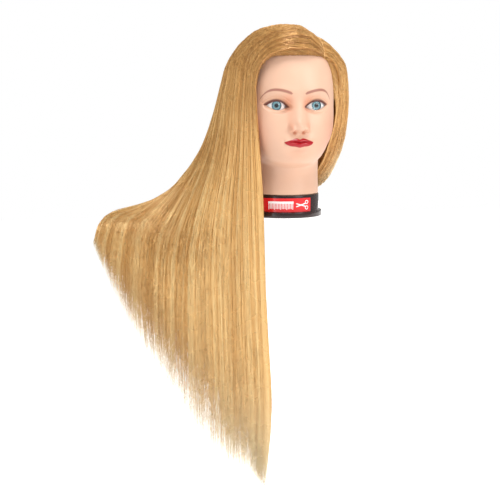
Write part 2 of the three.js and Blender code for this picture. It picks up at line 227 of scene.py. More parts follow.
def moulded_grain():
    group = bpy.data.node_groups.new("moulded_grain", "ShaderNodeTree")
    group_socket(group, "Grain Scale", "INPUT", "NodeSocketFloat", 900.0)
    group_socket(group, "Roughness", "INPUT", "NodeSocketFloat", 0.4)
    group_socket(group, "Roughness Change", "INPUT", "NodeSocketFloat", 0.08)
    group_socket(group, "Height", "OUTPUT", "NodeSocketFloat")
    group_socket(group, "Roughness", "OUTPUT", "NodeSocketFloat")
    group_socket(group, "Mottle", "OUTPUT", "NodeSocketFloat")
    nodes, links = group.nodes, group.links
    inside = nodes.new("NodeGroupInput")
    outside = nodes.new("NodeGroupOutput")
    place = nodes.new("ShaderNodeTexCoord")
    fine = nodes.new("ShaderNodeTexNoise")
    fine.inputs["Detail"].default_value = 3
    slow = nodes.new("ShaderNodeTexNoise")
    slow.inputs["Scale"].default_value = 38
    slow.inputs["Detail"].default_value = 2
    centred = nodes.new("ShaderNodeMath")
    centred.operation = "SUBTRACT"
    centred.inputs[1].default_value = 0.5
    spread = nodes.new("ShaderNodeMath")
    spread.operation = "MULTIPLY_ADD"
    for noise in (fine, slow):
        links.new(place.outputs["Object"], noise.inputs["Vector"])
    links.new(inside.outputs["Grain Scale"], fine.inputs["Scale"])
    links.new(slow.outputs["Fac"], centred.inputs[0])
    links.new(centred.outputs[0], spread.inputs[0])
    links.new(inside.outputs["Roughness Change"], spread.inputs[1])
    links.new(inside.outputs["Roughness"], spread.inputs[2])
    links.new(fine.outputs["Fac"], outside.inputs["Height"])
    links.new(spread.outputs[0], outside.inputs["Roughness"])
    links.new(slow.outputs["Fac"], outside.inputs["Mottle"])
    return group


GRAIN = moulded_grain()


def linear(red, green, blue):
    """A colour given as it looks on a screen, 0 to 255, as the linear numbers that a shader takes."""
    return tuple(((value / 255 + 0.055) / 1.055) ** 2.4 for value in (red, green, blue)) + (1.0,)


def new_material(name):
    material = bpy.data.materials.new(name)
    material.use_nodes = True
    return material, material.node_tree.nodes, material.node_tree.links


def moulded(name, dark, light, grain=900.0, roughness=0.4, change=0.08, bump=0.00002, coat=0.0):
    """A moulded plastic: two close colours mixed by the mottle, with a fine grained skin."""
    material, nodes, links = new_material(name)
    surface = nodes["Principled BSDF"]
    surface.inputs["Coat Weight"].default_value = coat
    surface.inputs["Coat Roughness"].default_value = 0.08
    texture = nodes.new("ShaderNodeGroup")
    texture.node_tree = GRAIN
    texture.inputs["Grain Scale"].default_value = grain
    texture.inputs["Roughness"].default_value = roughness
    texture.inputs["Roughness Change"].default_value = change
    ramp = nodes.new("ShaderNodeValToRGB")
    ramp.color_ramp.elements[0].color = dark
    ramp.color_ramp.elements[0].position = 0.3
    ramp.color_ramp.elements[1].color = light
    ramp.color_ramp.elements[1].position = 0.7
    raised = nodes.new("ShaderNodeBump")
    raised.inputs["Distance"].default_value = bump
    links.new(texture.outputs["Mottle"], ramp.inputs["Fac"])
    links.new(ramp.outputs["Color"], surface.inputs["Base Color"])
    links.new(texture.outputs["Roughness"], surface.inputs["Roughness"])
    links.new(texture.outputs["Height"], raised.inputs["Height"])
    links.new(raised.outputs["Normal"], surface.inputs["Normal"])
    return material


print("group outputs:", [item.name for item in GRAIN.interface.items_tree if item.in_out == "OUTPUT"])

# %% [markdown]
# ## Base
# The neck ring, its plate and the clamp socket are turned parts, injection moulded in a dark plastic. A
# lathe profile spun about the vertical axis makes each in one step, and a small bevel on the sharp edges
# catches the light as a moulded edge does.

# %% Turned parts
BASE = {"ring": 55, "flange": 60, "flange_height": 8.5, "height": 34.3, "bore": 51.5, "ledge": 38}
LEDGE = (5.5, 12)
PLATE = {"radius": 50, "bottom": 1.2, "top": 5.1}
SOCKET = {"bore": 10.5, "wall": 3.5, "depth": 62, "foot": 22, "foot_height": 2.5}
CLEARANCE = 0.35
TURN_STEPS = 144


def spun(profile, closed=True, steps=TURN_STEPS, bevel=0.5):
    """A profile of radius and height, spun a full turn about Z. An open one starts and ends on the axis."""
    shape = bmesh.new()
    corners = [shape.verts.new((radius * MM, 0, height * MM)) for radius, height in profile]
    after = corners[1:] + corners[:1] if closed else corners[1:]
    lines = [shape.edges.new(pair) for pair in zip(corners, after)]
    bmesh.ops.spin(
        shape,
        geom=corners + lines,
        cent=(0, 0, 0),
        axis=(0, 0, 1),
        angle=2 * math.pi,
        steps=steps,
        use_merge=True,
    )
    bmesh.ops.remove_doubles(shape, verts=shape.verts, dist=1e-6)
    bmesh.ops.recalc_face_normals(shape, faces=shape.faces)
    if bevel:
        round_edges(shape, bevel)
    return shape


def round_edges(shape, width, segments=3, angle=math.radians(35)):
    sharp = [e for e in shape.edges if len(e.link_faces) == 2 and e.calc_face_angle() > angle]
    bmesh.ops.bevel(
        shape,
        geom=sharp,
        offset=width * MM,
        affect="EDGES",
        segments=segments,
        profile=0.5,
        material=-1,
        clamp_overlap=True,
    )


ring_profile = [
    (BASE["ledge"], LEDGE[0]),
    (PLATE["radius"] + CLEARANCE, LEDGE[0]),
    (PLATE["radius"] + CLEARANCE, 0),
    (BASE["flange"], 0),
    (BASE["flange"], BASE["flange_height"]),
    (BASE["ring"], BASE["flange_height"]),
    (BASE["ring"], BASE["height"]),
    (BASE["bore"], BASE["height"]),
    (BASE["bore"], LEDGE[1]),
    (BASE["ledge"], LEDGE[1]),
]
dark_plastic = moulded("dark_plastic", linear(40, 25, 25), linear(50, 33, 32), 700.0, 0.2, 0.05, 8e-6, 0.1)
piece_from("neck_ring_moulding", spun(ring_profile, bevel=0.9), dark_plastic, ["neck_ring"])

socket_outer = SOCKET["bore"] + SOCKET["wall"]
socket_foot = PLATE["top"] + CLEARANCE
plate_profile = [
    (socket_outer + CLEARANCE, PLATE["bottom"]),
    (PLATE["radius"], PLATE["bottom"]),
    (PLATE["radius"], PLATE["top"]),
    (socket_outer + CLEARANCE, PLATE["top"]),
]
socket_profile = [
    (SOCKET["bore"], PLATE["bottom"]),
    (socket_outer, PLATE["bottom"]),
    (socket_outer, socket_foot),
    (SOCKET["foot"], socket_foot),
    (SOCKET["foot"], socket_foot + SOCKET["foot_height"]),
    (socket_outer, socket_foot + SOCKET["foot_height"]),
    (socket_outer, SOCKET["depth"] + SOCKET["wall"]),
    (0, SOCKET["depth"] + SOCKET["wall"]),
]
socket_inside = [(0, SOCKET["depth"]), (SOCKET["bore"], SOCKET["depth"])]
grey_plastic = moulded("grey_plastic", linear(74, 66, 66), linear(92, 84, 82), 500.0, 0.45, 0.1, 2e-5)
socket_shape = spun(socket_profile + socket_inside)
piece_from("socket_moulding", socket_shape, grey_plastic, ["clamp_socket"])

# %% [markdown]
# ## Base plate and screws
# The plate closes the ring from below. Its stiffening ribs and the four pan-head screws are what a buyer
# sees on turning the head over. The ribs are boxes laid out by a loop, and each screw is a turned shape
# with a round recess pressed into its head by an inset, where a real screw has a cross.

# %% Plate, ribs and screws
RIB = {"count": 8, "inner": 17, "outer": 36, "width": 1.6, "height": 0.8}
SCREW = {"count": 4, "circle": 44, "head": 3.4, "head_height": 1.6, "shank": 1.5, "length": 9}


def ribbed_plate():
    shape = spun(plate_profile, bevel=0.4)
    for index in range(RIB["count"]):
        made = bmesh.ops.create_cube(shape, size=1)["verts"]
        size = (RIB["outer"] - RIB["inner"], RIB["width"], RIB["height"])
        bmesh.ops.scale(shape, vec=Vector(size) * MM, verts=made)
        middle = ((RIB["outer"] + RIB["inner"]) / 2 * MM, 0, (PLATE["bottom"] - 0.3) * MM)
        bmesh.ops.translate(shape, vec=middle, verts=made)
        turn = Matrix.Rotation((index + 0.5) * 2 * math.pi / RIB["count"], 3, "Z")
        bmesh.ops.rotate(shape, cent=(0, 0, 0), matrix=turn, verts=made)
    return shape


def screw_shape(x, y, bottom):
    profile = [
        (0, 0),
        (SCREW["head"] * 0.7, 0),
        (SCREW["head"], 0.7),
        (SCREW["head"], SCREW["head_height"]),
        (SCREW["shank"], SCREW["head_height"]),
        (SCREW["shank"], SCREW["length"] - 1.5),
        (0, SCREW["length"]),
    ]
    shape = spun(profile, closed=False, steps=24, bevel=0.15)
    under = [f for f in shape.faces if f.normal.z < -0.95 and f.calc_center_median().z < 1e-5]
    bmesh.ops.dissolve_faces(shape, faces=under, use_verts=True)
    drive = min(shape.faces, key=lambda f: f.calc_center_median().z)
    bmesh.ops.inset_individual(shape, faces=[drive], thickness=0.9 * MM, depth=0)
    pressed = bmesh.ops.extrude_discrete_faces(shape, faces=[drive])["faces"][0]
    bmesh.ops.translate(shape, vec=(0, 0, 0.8 * MM), verts=pressed.verts)
    bmesh.ops.scale(shape, vec=(0.6, 0.6, 1), verts=pressed.verts)
    bmesh.ops.translate(shape, vec=(x * MM, y * MM, bottom * MM), verts=shape.verts)
    return shape


def brushed_steel():
    material, nodes, links = new_material("screw_steel")
    surface = nodes["Principled BSDF"]
    surface.inputs["Metallic"].default_value = 1.0
    texture = nodes.new("ShaderNodeGroup")
    texture.node_tree = GRAIN
    texture.inputs["Grain Scale"].default_value = 2500.0
    texture.inputs["Roughness"].default_value = 0.28
    texture.inputs["Roughness Change"].default_value = 0.2
    ramp = nodes.new("ShaderNodeValToRGB")
    ramp.color_ramp.elements[0].color = linear(150, 152, 155)
    ramp.color_ramp.elements[1].color = linear(205, 206, 208)
    links.new(texture.outputs["Height"], ramp.inputs["Fac"])
    links.new(ramp.outputs["Color"], surface.inputs["Base Color"])
    links.new(texture.outputs["Roughness"], surface.inputs["Roughness"])
    return material


piece_from("base_plate_moulding", ribbed_plate(), grey_plastic, ["base_plate"])
steel = brushed_steel()
screw_bottom = PLATE["bottom"] - CLEARANCE
for index in range(SCREW["count"]):
    angle = math.pi / 4 + 2 * math.pi * index / SCREW["count"]
    place = (SCREW["circle"] * math.cos(angle), SCREW["circle"] * math.sin(angle), screw_bottom)
    name = f"base_screw_{index + 1}"
    piece_from(f"pan_screw_{index + 1}", screw_shape(*place), steel, [name])

# %% [markdown]
# ## Label
# A strip of printed film is glued round the front of the ring. The print here is a barber's comb and a pair
# of scissors in white, which says what the head is for without any words. Both are cut flat and then bent
# round the ring with the film, so that the print follows the curve.

# %% The film and its print
LABEL = {"bottom": 9, "height": 21.5, "arc": math.radians(92), "turn": math.radians(-13), "thick": 0.4}
PRINT_THICK = 0.12
film_radius = BASE["ring"] + CLEARANCE
film_length = LABEL["arc"] * film_radius


def bend_round_ring(shape, base_radius):
    """Flat X, height Z and outward -Y in millimetres become a place on the ring."""
    for vert in shape.verts:
        angle = LABEL["turn"] + vert.co.x / film_radius
        radius = base_radius - vert.co.y
        vert.co = Vector((radius * math.sin(angle), -radius * math.cos(angle), vert.co.z)) * MM


def join_into(shape, extra):
    """Adds one bmesh to another, and frees it."""
    carrier = bpy.data.meshes.new("joined")
    extra.to_mesh(carrier)
    extra.free()
    shape.from_mesh(carrier)
    bpy.data.meshes.remove(carrier)


def flat_box(shape, centre, size, turn=0.0, cuts=0):
    """A thin bar; cuts along it let it bend."""
    bar = bmesh.new()
    bmesh.ops.create_cube(bar, size=1)
    if cuts:
        lengthways = [edge for edge in bar.edges if abs(edge.verts[0].co.x - edge.verts[1].co.x) > 0.5]
        bmesh.ops.subdivide_edges(bar, edges=lengthways, cuts=cuts, use_grid_fill=True)
    bmesh.ops.scale(bar, vec=size, verts=bar.verts)
    bmesh.ops.rotate(bar, cent=(0, 0, 0), matrix=Matrix.Rotation(turn, 3, "Y"), verts=bar.verts)
    bmesh.ops.translate(bar, vec=centre, verts=bar.verts)
    join_into(shape, bar)


def label_film():
    shape = bmesh.new()
    middle = LABEL["bottom"] + LABEL["height"] / 2
    film_size = (film_length, LABEL["thick"], LABEL["height"])
    flat_box(shape, (0, -LABEL["thick"] / 2, middle), film_size, cuts=60)
    round_label = [e for e in shape.edges if abs(e.verts[0].co.x - e.verts[1].co.x) < 1e-6
                   and abs(e.verts[0].co.z - e.verts[1].co.z) < 1e-6
                   and abs(abs(e.verts[0].co.x) - film_length / 2) < 1e-3]
    bmesh.ops.bevel(
        shape, geom=round_label, offset=1.5, affect="EDGES", segments=4, profile=0.5, material=-1
    )
    bend_round_ring(shape, film_radius)
    return shape


def ring_shape(shape, x, z, outer, inner, steps=28):
    """A flat ring, the finger hole of a pair of scissors."""
    ring = bmesh.new()
    section = ((inner, 0), (outer, 0), (outer, -PRINT_THICK), (inner, -PRINT_THICK))
    start = [ring.verts.new((x + radius, y, z)) for radius, y in section]
    lines = [ring.edges.new(pair) for pair in zip(start, start[1:] + start[:1])]
    bmesh.ops.spin(ring, geom=start + lines, cent=(x, 0, z), axis=(0, 1, 0), angle=2 * math.pi,
                   steps=steps, use_merge=True)
    join_into(shape, ring)


COMB = {"left": -27.0, "length": 40.0, "teeth": 17, "end": 1.2, "tooth": 1.15, "short": 8.5, "long": 9.6}
SPINE = {"up": 4.2, "tall": 3.4, "root": 2.8}
SCISSORS = {
    "blade_x": 25.5,
    "blade": 17,
    "wide": 1.7,
    "spread": 17,
    "hole_x": 36,
    "hole_up": 4.3,
    "hole": (3.2, 1.9),
}


def label_print():
    """A comb beside an open pair of scissors."""
    shape = bmesh.new()
    middle = LABEL["bottom"] + LABEL["height"] / 2
    depth = PRINT_THICK
    left, length, teeth = COMB["left"], COMB["length"], COMB["teeth"]
    spine_middle = (left + length / 2, -depth / 2, middle + SPINE["up"])
    flat_box(shape, spine_middle, (length, depth, SPINE["tall"]), cuts=16)
    for index in range(teeth):
        tall = COMB["short"] if index % 4 else COMB["long"]
        x = left + COMB["end"] + index * (length - 2 * COMB["end"]) / (teeth - 1)
        flat_box(shape, (x, -depth / 2, middle + SPINE["root"] - tall / 2), (COMB["tooth"], depth, tall))
    blade_size = (SCISSORS["blade"], depth, SCISSORS["wide"])
    for side in (-1, 1):
        spread = side * math.radians(SCISSORS["spread"])
        flat_box(shape, (SCISSORS["blade_x"], -depth / 2, middle), blade_size, turn=spread, cuts=6)
        ring_shape(shape, SCISSORS["hole_x"], middle + side * SCISSORS["hole_up"], *SCISSORS["hole"])
    bmesh.ops.recalc_face_normals(shape, faces=shape.faces)
    bend_round_ring(shape, film_radius + LABEL["thick"])
    return shape


red_film = moulded("red_film", linear(214, 26, 32), linear(232, 36, 42), 300.0, 0.24, 0.05, 4e-6, 0.5)
white_ink = moulded("white_ink", linear(236, 226, 224), linear(250, 246, 244), 300.0, 0.35, 0.05, 4e-6)
piece_from("label_film", label_film(), red_film, ["label"])
piece_from("label_print", label_print(), white_ink)

# %% [markdown]
# ## Eyes
# A training head has moulded acrylic eyes behind the skin: a white ball, a printed iris in its front and a
# clear dome over it. Each is a turned shape about its own line of sight. Real irises have fibres that run
# out from the pupil, so that print is made in the shader from the angle and the distance to the centre.

# %% Balls, irises and clear domes
EYE = {"x": 30.5, "y": -57.5, "z": 172.5, "radius": 15.5, "iris": 7.6, "depth": 11.5, "toe_out": 0.06}
DISC_THICK = 0.5
BALL_WIDTH = 1.25  # the eyeball is a little wider than high


def eye_place(side):
    """Turns a shape spun about Z into an eye that looks along -Y from its own socket."""
    centre = Vector((side * EYE["x"], EYE["y"], EYE["z"])) * MM
    return Matrix.Translation(centre) @ Matrix.Rotation(side * EYE["toe_out"], 4, "Z") @ Matrix.Rotation(
        math.pi / 2, 4, "X"
    )


def arc(radius, start, stop, count):
    return [
        (
            radius * math.sin(start + (stop - start) * i / count),
            radius * math.cos(start + (stop - start) * i / count),
        )
        for i in range(count + 1)
    ]


def widen_white(shape):
    """Draws the white out sideways beyond the iris, towards the corners of the eye."""
    for vert in shape.verts:
        beyond = max(0.0, abs(vert.co.x) / MM - EYE["iris"]) / (EYE["radius"] - EYE["iris"])
        vert.co.x *= 1 + (BALL_WIDTH - 1) * beyond


def eye_white_shape(side):
    pocket = math.asin(EYE["iris"] / EYE["radius"])
    ball = arc(EYE["radius"], pocket, math.pi, 40)
    ball[-1] = (0, -EYE["radius"])
    seat = [(0, EYE["depth"]), (EYE["iris"], EYE["depth"])]
    shape = spun(seat + ball, closed=False, steps=64, bevel=0.15)
    widen_white(shape)
    bmesh.ops.transform(shape, matrix=eye_place(side), verts=shape.verts)
    return shape


def iris_shape(side):
    disc = EYE["iris"] - CLEARANCE
    low = EYE["depth"] + CLEARANCE
    profile = [(0, low), (disc, low), (disc, low + DISC_THICK)]
    profile += [(disc * (1 - i / 12), low + DISC_THICK) for i in range(1, 12)] + [(0, low + DISC_THICK)]
    shape = spun(profile, closed=False, steps=64, bevel=0)
    print_map = shape.loops.layers.uv.new("iris_print")
    for face in shape.faces:
        for loop in face.loops:
            loop[print_map].uv = (loop.vert.co.x / (disc * MM), loop.vert.co.y / (disc * MM))
    bmesh.ops.transform(shape, matrix=eye_place(side), verts=shape.verts)
    return shape


def dome_shape(side):
    disc = EYE["iris"] - CLEARANCE
    low = EYE["depth"] + 2 * CLEARANCE + DISC_THICK
    rim = math.asin(disc / EYE["radius"])
    dome = [(radius, height + 0.4) for radius, height in arc(EYE["radius"], rim, 0, 16)]
    dome[-1] = (0, dome[-1][1])
    shape = spun([(0, low), (disc, low)] + dome, closed=False, steps=64, bevel=0)
    bmesh.ops.transform(shape, matrix=eye_place(side), verts=shape.verts)
    return shape


def eye_white_material():
    """White, glossy as polished acrylic."""
    return moulded("eye_white", linear(240, 236, 234), linear(252, 250, 249), 200.0, 0.12, 0.03, 2e-6, 0.6)


def iris_material():
    """A printed iris: a black pupil, a pale inner ring, blue fibres and a dark outer ring."""
    material, nodes, links = new_material("iris_print")
    surface = nodes["Principled BSDF"]
    surface.inputs["Roughness"].default_value = 0.3
    plane = nodes.new("ShaderNodeUVMap")
    plane.uv_map = "iris_print"
    length = nodes.new("ShaderNodeVectorMath")
    length.operation = "LENGTH"
    rings = nodes.new("ShaderNodeValToRGB")
    rings.color_ramp.elements[0].position = 0.0
    rings.color_ramp.elements[0].color = linear(12, 14, 22)
    rings.color_ramp.elements[1].position = 1.0
    rings.color_ramp.elements[1].color = linear(26, 44, 58)
    for position, colour in (
        (0.32, linear(14, 18, 28)),
        (0.40, linear(92, 116, 124)),
        (0.55, linear(146, 194, 204)),
        (0.76, linear(104, 164, 180)),
        (0.90, linear(52, 92, 108)),
    ):
        rings.color_ramp.elements.new(position).color = colour
    around = nodes.new("ShaderNodeTexGradient")
    around.gradient_type = "RADIAL"
    fibres = nodes.new("ShaderNodeTexNoise")
    fibres.noise_dimensions = "1D"
    fibres.inputs["Scale"].default_value = 70
    fibres.inputs["Detail"].default_value = 4
    spread = nodes.new("ShaderNodeMapRange")
    spread.inputs["From Min"].default_value = 0.3
    spread.inputs["From Max"].default_value = 0.7
    spread.inputs["To Min"].default_value = 0.62
    spread.inputs["To Max"].default_value = 1.25
    shade = nodes.new("ShaderNodeVectorMath")
    shade.operation = "SCALE"
    links.new(plane.outputs["UV"], length.inputs[0])
    links.new(length.outputs["Value"], rings.inputs["Fac"])
    links.new(plane.outputs["UV"], around.inputs["Vector"])
    links.new(around.outputs["Fac"], fibres.inputs["W"])
    links.new(fibres.outputs["Fac"], spread.inputs["Value"])
    links.new(rings.outputs["Color"], shade.inputs[0])
    links.new(spread.outputs["Result"], shade.inputs["Scale"])
    links.new(shade.outputs["Vector"], surface.inputs["Base Color"])
    return material


def clear_acrylic():
    material, nodes, links = new_material("clear_acrylic")
    surface = nodes["Principled BSDF"]
    surface.inputs["Base Color"].default_value = (1, 1, 1, 1)
    surface.inputs["Transmission Weight"].default_value = 1.0
    surface.inputs["IOR"].default_value = 1.3
    texture = nodes.new("ShaderNodeGroup")
    texture.node_tree = GRAIN
    texture.inputs["Roughness"].default_value = 0.02
    texture.inputs["Roughness Change"].default_value = 0.01
    links.new(texture.outputs["Roughness"], surface.inputs["Roughness"])
    return material


eye_white = eye_white_material()
iris_print = iris_material()
acrylic = clear_acrylic()
for side_name, side in (("right", -1), ("left", 1)):
    ball_shape = eye_white_shape(side)
    piece_from(f"eyeball_{side_name}", ball_shape, eye_white, [f"eye_white_{side_name}"])
    piece_from(f"iris_disc_{side_name}", iris_shape(side), iris_print, [f"iris_{side_name}"])
    piece_from(f"eye_dome_{side_name}", dome_shape(side), acrylic, [f"cornea_{side_name}"])

# %% [markdown]
# ## The head's form
# The vinyl skin is slush moulded from a sculpted master. The sculpt is described here as the CAD model
# does it: levels from the crown to the neck, each with its reach forward, to the side and back, joined by
# smooth curves, and a relief for the features that is added to the front. The relief is finer than the CAD
# model's, with lids, nostrils and lips.

# %% Levels and curves
# Each row: reach forward and its height, half width and its height, reach back and its height, and the Y
# of the widest place. The first row is the crown.
HEAD_LEVELS = np.array([
    [-12, 287, 0, 287, 12, 287, 12],
    [12, 286, 24, 284.5, 34, 285, 12],
    [36, 280, 44, 277.5, 55, 277, 12],
    [57, 268, 60, 264, 75, 262, 10],
    [72, 251, 69.5, 247, 89, 240, 8],
    [80, 232, 73.5, 228, 96, 216, 6],
    [84, 212, 74.5, 208, 98, 194, 5],
    [85, 194, 74.5, 190, 94, 172, 4],
    [82, 176, 74.5, 172, 86, 152, 2],
    [83, 158, 74, 155, 76, 134, 0],
    [85, 141, 72.5, 139, 67, 118, -2],
    [87, 125, 68.5, 123, 61, 104, -3],
    [88, 110, 63, 112, 58, 92, -3],
    [87, 97, 59, 104, 56.5, 82, -2],
    [82, 86.5, 56, 99, 55.5, 74, 0],
    [67, 81, 54.2, 95, 55, 67, 0],
    [54, 77, 53.7, 88, 54.8, 61, 0],
    [51, 68, 53.4, 74, 54.6, 56, 0],
    [51.5, 56, 53.6, 58, 54.5, 50, 0],
    [53, 45, 54, 44, 54.4, 43, 0],
    [54, 36, 54, 36, 54, 36, 0],
], float)


def between(p0, p1, p2, p3, t):
    """A centripetal Catmull-Rom curve from p1 to p2; every argument holds one row per wanted point."""
    pairs = ((p0, p1), (p1, p2), (p2, p3))
    gaps = [np.maximum(np.linalg.norm(b - a, axis=-1), 1e-6) ** 0.5 for a, b in pairs]
    d0, d1, d2 = (gap[..., None] for gap in gaps)
    start = ((p1 - p0) / d0 - (p2 - p0) / (d0 + d1) + (p2 - p1) / d1) * d1
    stop = ((p2 - p1) / d1 - (p3 - p1) / (d1 + d2) + (p3 - p2) / d2) * d1
    t = t[..., None]
    return (
        p1 + start * t + (3 * (p2 - p1) - 2 * start - stop) * t**2 + (2 * (p1 - p2) + start + stop) * t**3
    )


def along_curve(points, share):
    """Places on the curve through points, at shares of the way from the first to the last."""
    points = np.asarray(points, float)
    padded = np.vstack([2 * points[:1] - points[1:2], points, 2 * points[-1:] - points[-2:-1]])
    reach = np.clip(share, 0, 1) * (len(points) - 1)
    first = np.minimum(reach.astype(int), len(points) - 2)
    return between(padded[first], padded[first + 1], padded[first + 2], padded[first + 3], reach - first)


def bump(value, centre, width):
    return np.exp(-(((value - centre) / width) ** 2))


def smoothstep(value, low, high):
    t = np.clip((value - low) / (high - low), 0, 1)
    return t * t * (3 - 2 * t)


print("levels:", len(HEAD_LEVELS), "from", HEAD_LEVELS[0, 1], "to", HEAD_LEVELS[-1, 1], "mm")

# %% [markdown]
# ## Features
# Mouth, eyes and brows are placed once, as curves in the face's own X and Z, because three things need
# them: the relief, the openings in the skin and the painted colours. Each feature is mirrored, so only
# the distance from the middle of the face is used.

# %% Outlines of the mouth, eyes and brows
MOUTH = {"z": 118.2, "half": 22.5, "upper": 6.6, "lower": 7.4}
BROW = {"inner": 10.5, "outer": 54}


def mouth_line(side):
    """The height of the line between the lips, dipping a little at the middle."""
    t = np.clip(side / MOUTH["half"], 0, 1)
    return MOUTH["z"] - 0.9 * (1 - t) ** 2 + 0.7 * bump(t, 0.3, 0.2)


def lip_edges(side):
    """Heights of the upper and the lower edge of the lips."""
    t = np.clip(side / MOUTH["half"], 0, 1)
    bow = 1 - 0.24 * bump(t, 0, 0.12)
    upper = mouth_line(side) + MOUTH["upper"] * bow * (1 - t**1.35) ** 0.95
    lower = mouth_line(side) - MOUTH["lower"] * np.sqrt(np.maximum(1 - t**2.1, 0))
    return upper, lower


def brow_curve(side):
    """Height of the brow's middle line and its half thickness."""
    t = (side - BROW["inner"]) / (BROW["outer"] - BROW["inner"])
    height = 190.2 + 18 * t - 12.5 * t**2 - 11.8 * t**6
    half = np.interp(t, [-0.02, 0.03, 0.3, 0.7, 1.0, 1.03], [0, 2.1, 2.3, 1.9, 0.9, 0])
    return height, half


def almond(steps=60):
    """The outline of an eye's opening, about the eye's centre: X outwards from the nose, Z up."""
    inner, outer = np.array([-15.5, -2.7]), np.array([15.5, 0.4])
    outline = []
    for start, bend, stop in ((inner, (-1.5, 13.6), outer), (outer, (1.0, -12.2), inner)):
        t = np.linspace(0, 1, steps, endpoint=False)[:, None]
        outline.append((1 - t) ** 2 * start + 2 * t * (1 - t) * np.array(bend) + t**2 * stop)
    return np.vstack(outline)


ALMOND = almond()


def almond_distance(side, z):
    """Signed distance to an eye's opening, below zero inside it, and the nearest place on its outline."""
    place = np.stack([side - EYE["x"], z - EYE["z"]], axis=-1)
    gaps = np.linalg.norm(place[:, None] - ALMOND[None], axis=-1)
    nearest = gaps.argmin(axis=1)
    edge = np.roll(ALMOND, -1, axis=0)[nearest] - np.roll(ALMOND, 1, axis=0)[nearest]
    away = place - ALMOND[nearest]
    outside = np.sign(edge[:, 0] * away[:, 1] - edge[:, 1] * away[:, 0])
    return outside * gaps[np.arange(len(place)), nearest], ALMOND[nearest]


print("eye opening:", np.ptp(ALMOND, axis=0).round(1), "mm")

# %% Relief of the features


def face_relief(x, z):
    """How far the features stand out in front of the plain head, in millimetres."""
    side = np.abs(x)
    upper, lower = lip_edges(side)
    line = mouth_line(side)
    bridge = np.clip((186 - z) / 43, 0, 1)
    under_nose = smoothstep(z, 130.5, 137)
    nose = 11.5 * bridge**1.35 * under_nose * bump(side, 0, 7 + 5 * bridge)
    tip = 4.2 * bump(side, 0, 7.5) * bump(z, 141.5, 6) * under_nose
    wings = 7.0 * bump(side, 12.2, 4.4) * bump(z, 138, 5.6) * smoothstep(z, 130.5, 135)
    wing_crease = -1.8 * bump(side, 17.2, 2.0) * bump(z, 139.5, 6.5)
    nostrils = -6.0 * bump(side, 6.6, 2.6) * bump(z, 133.2, 2.3)
    sockets = -6 * bump(side, 31, 16) * bump(z, 176, 11)
    inner_corner = -2.2 * bump(side, 13, 5) * bump(z, 172, 9)
    brow_bone = 3 * bump(side, 29, 19) * bump(z, 194, 8)
    cheeks = 2.8 * bump(side, 42, 18) * bump(z, 150, 18)
    philtrum = -0.8 * bump(side, 0, 3) * bump(z, 128.5, 4)
    inside = np.clip(1 - side / MOUTH["half"], 0, 1)
    mouth_swell = 3.4 * bump(side, 0, 24) * bump(z, MOUTH["z"], 11)
    upper_lip = 2.4 * inside**0.5 * bump(z, (upper + line) / 2, 3.6)
    lower_lip = 3.2 * inside**0.5 * bump(z, (lower + line) / 2, 4.2)
    parting = -2.6 * (inside > 0) * inside**0.4 * bump(z, line, 1.1)
    corners = -1.2 * bump(side, MOUTH["half"] + 1, 3) * bump(z, MOUTH["z"], 4)
    under_lip = -1.6 * bump(side, 0, 15) * bump(z, 105.5, 4)
    chin = 3 * bump(side, 0, 16) * bump(z, 95, 9)
    return (
        nose + tip + wings + wing_crease + nostrils + sockets + inner_corner + brow_bone + cheeks + philtrum
        + mouth_swell + upper_lip + lower_lip + parting + corners + under_lip + chin
    )


LID = {"reach": 6.5, "stand": 1.3, "fold": 7.2, "corners": (-69.5, -63)}


def eyeball_front(side, z):
    """The Y of the front of an eyeball at a place, kept finite beyond its rim."""
    room = EYE["radius"] ** 2 - ((side - EYE["x"]) / BALL_WIDTH) ** 2 - (z - EYE["z"]) ** 2
    return EYE["y"] - np.sqrt(np.maximum(room, 6.0))


def lay_lids(points):
    """Near an eye the skin follows the eyeball, as a lid does, with a shallow fold above the upper lid."""
    side = np.abs(points[:, 0])
    near = (bump(side, EYE["x"], 26) * bump(points[:, 2], EYE["z"], 20) > 0.05) & (points[:, 1] < -30)
    gap, _ = almond_distance(side[near], points[near, 2])
    hug = 1 - smoothstep(gap, 0.5, LID["reach"])
    corner = np.interp(side[near], [EYE["x"] - 16, EYE["x"] + 16], LID["corners"])
    ball = np.minimum(eyeball_front(side[near], points[near, 2]) - LID["stand"], corner)
    above = smoothstep(points[near, 2], EYE["z"] + 2, EYE["z"] + 6)
    fold = 1.1 * bump(gap, LID["fold"], 1.3) * above
    y = points[near, 1]
    points[near, 1] = y + (ball - y) * hug * 0.9 + fold
    return points


def head_point(turn, share):
    """Places on the plain skin: turn is the angle from the face's middle, share runs from crown to neck."""
    front = along_curve(HEAD_LEVELS[:, [0, 1, 6]], share)
    side = along_curve(HEAD_LEVELS[:, [2, 3, 6]], share)
    back = along_curve(HEAD_LEVELS[:, [4, 5, 6]], share)
    ahead, across = np.cos(turn), np.sin(turn)
    facing = ahead > 0
    boxy = np.where(facing, 2 + 0.4 * bump(share, 0.45, 0.22), 2.1)
    centre = side[:, 2]
    reach = np.where(facing, -(front[:, 0] + centre), back[:, 0] - centre)
    x = np.sign(across) * side[:, 0] * np.abs(across) ** (2 / boxy)
    y = centre + reach * np.abs(ahead) ** (2 / boxy)
    level = np.where(facing, front[:, 1], back[:, 1])
    z = side[:, 1] + (level - side[:, 1]) * ahead**2
    y = y - np.where(facing, face_relief(x, z) * np.minimum(1, 2 * np.maximum(ahead, 0)), 0)
    return np.stack([x, y, z], axis=-1)


def unit(vectors):
    return vectors / np.maximum(np.linalg.norm(vectors, axis=-1, keepdims=True), 1e-9)


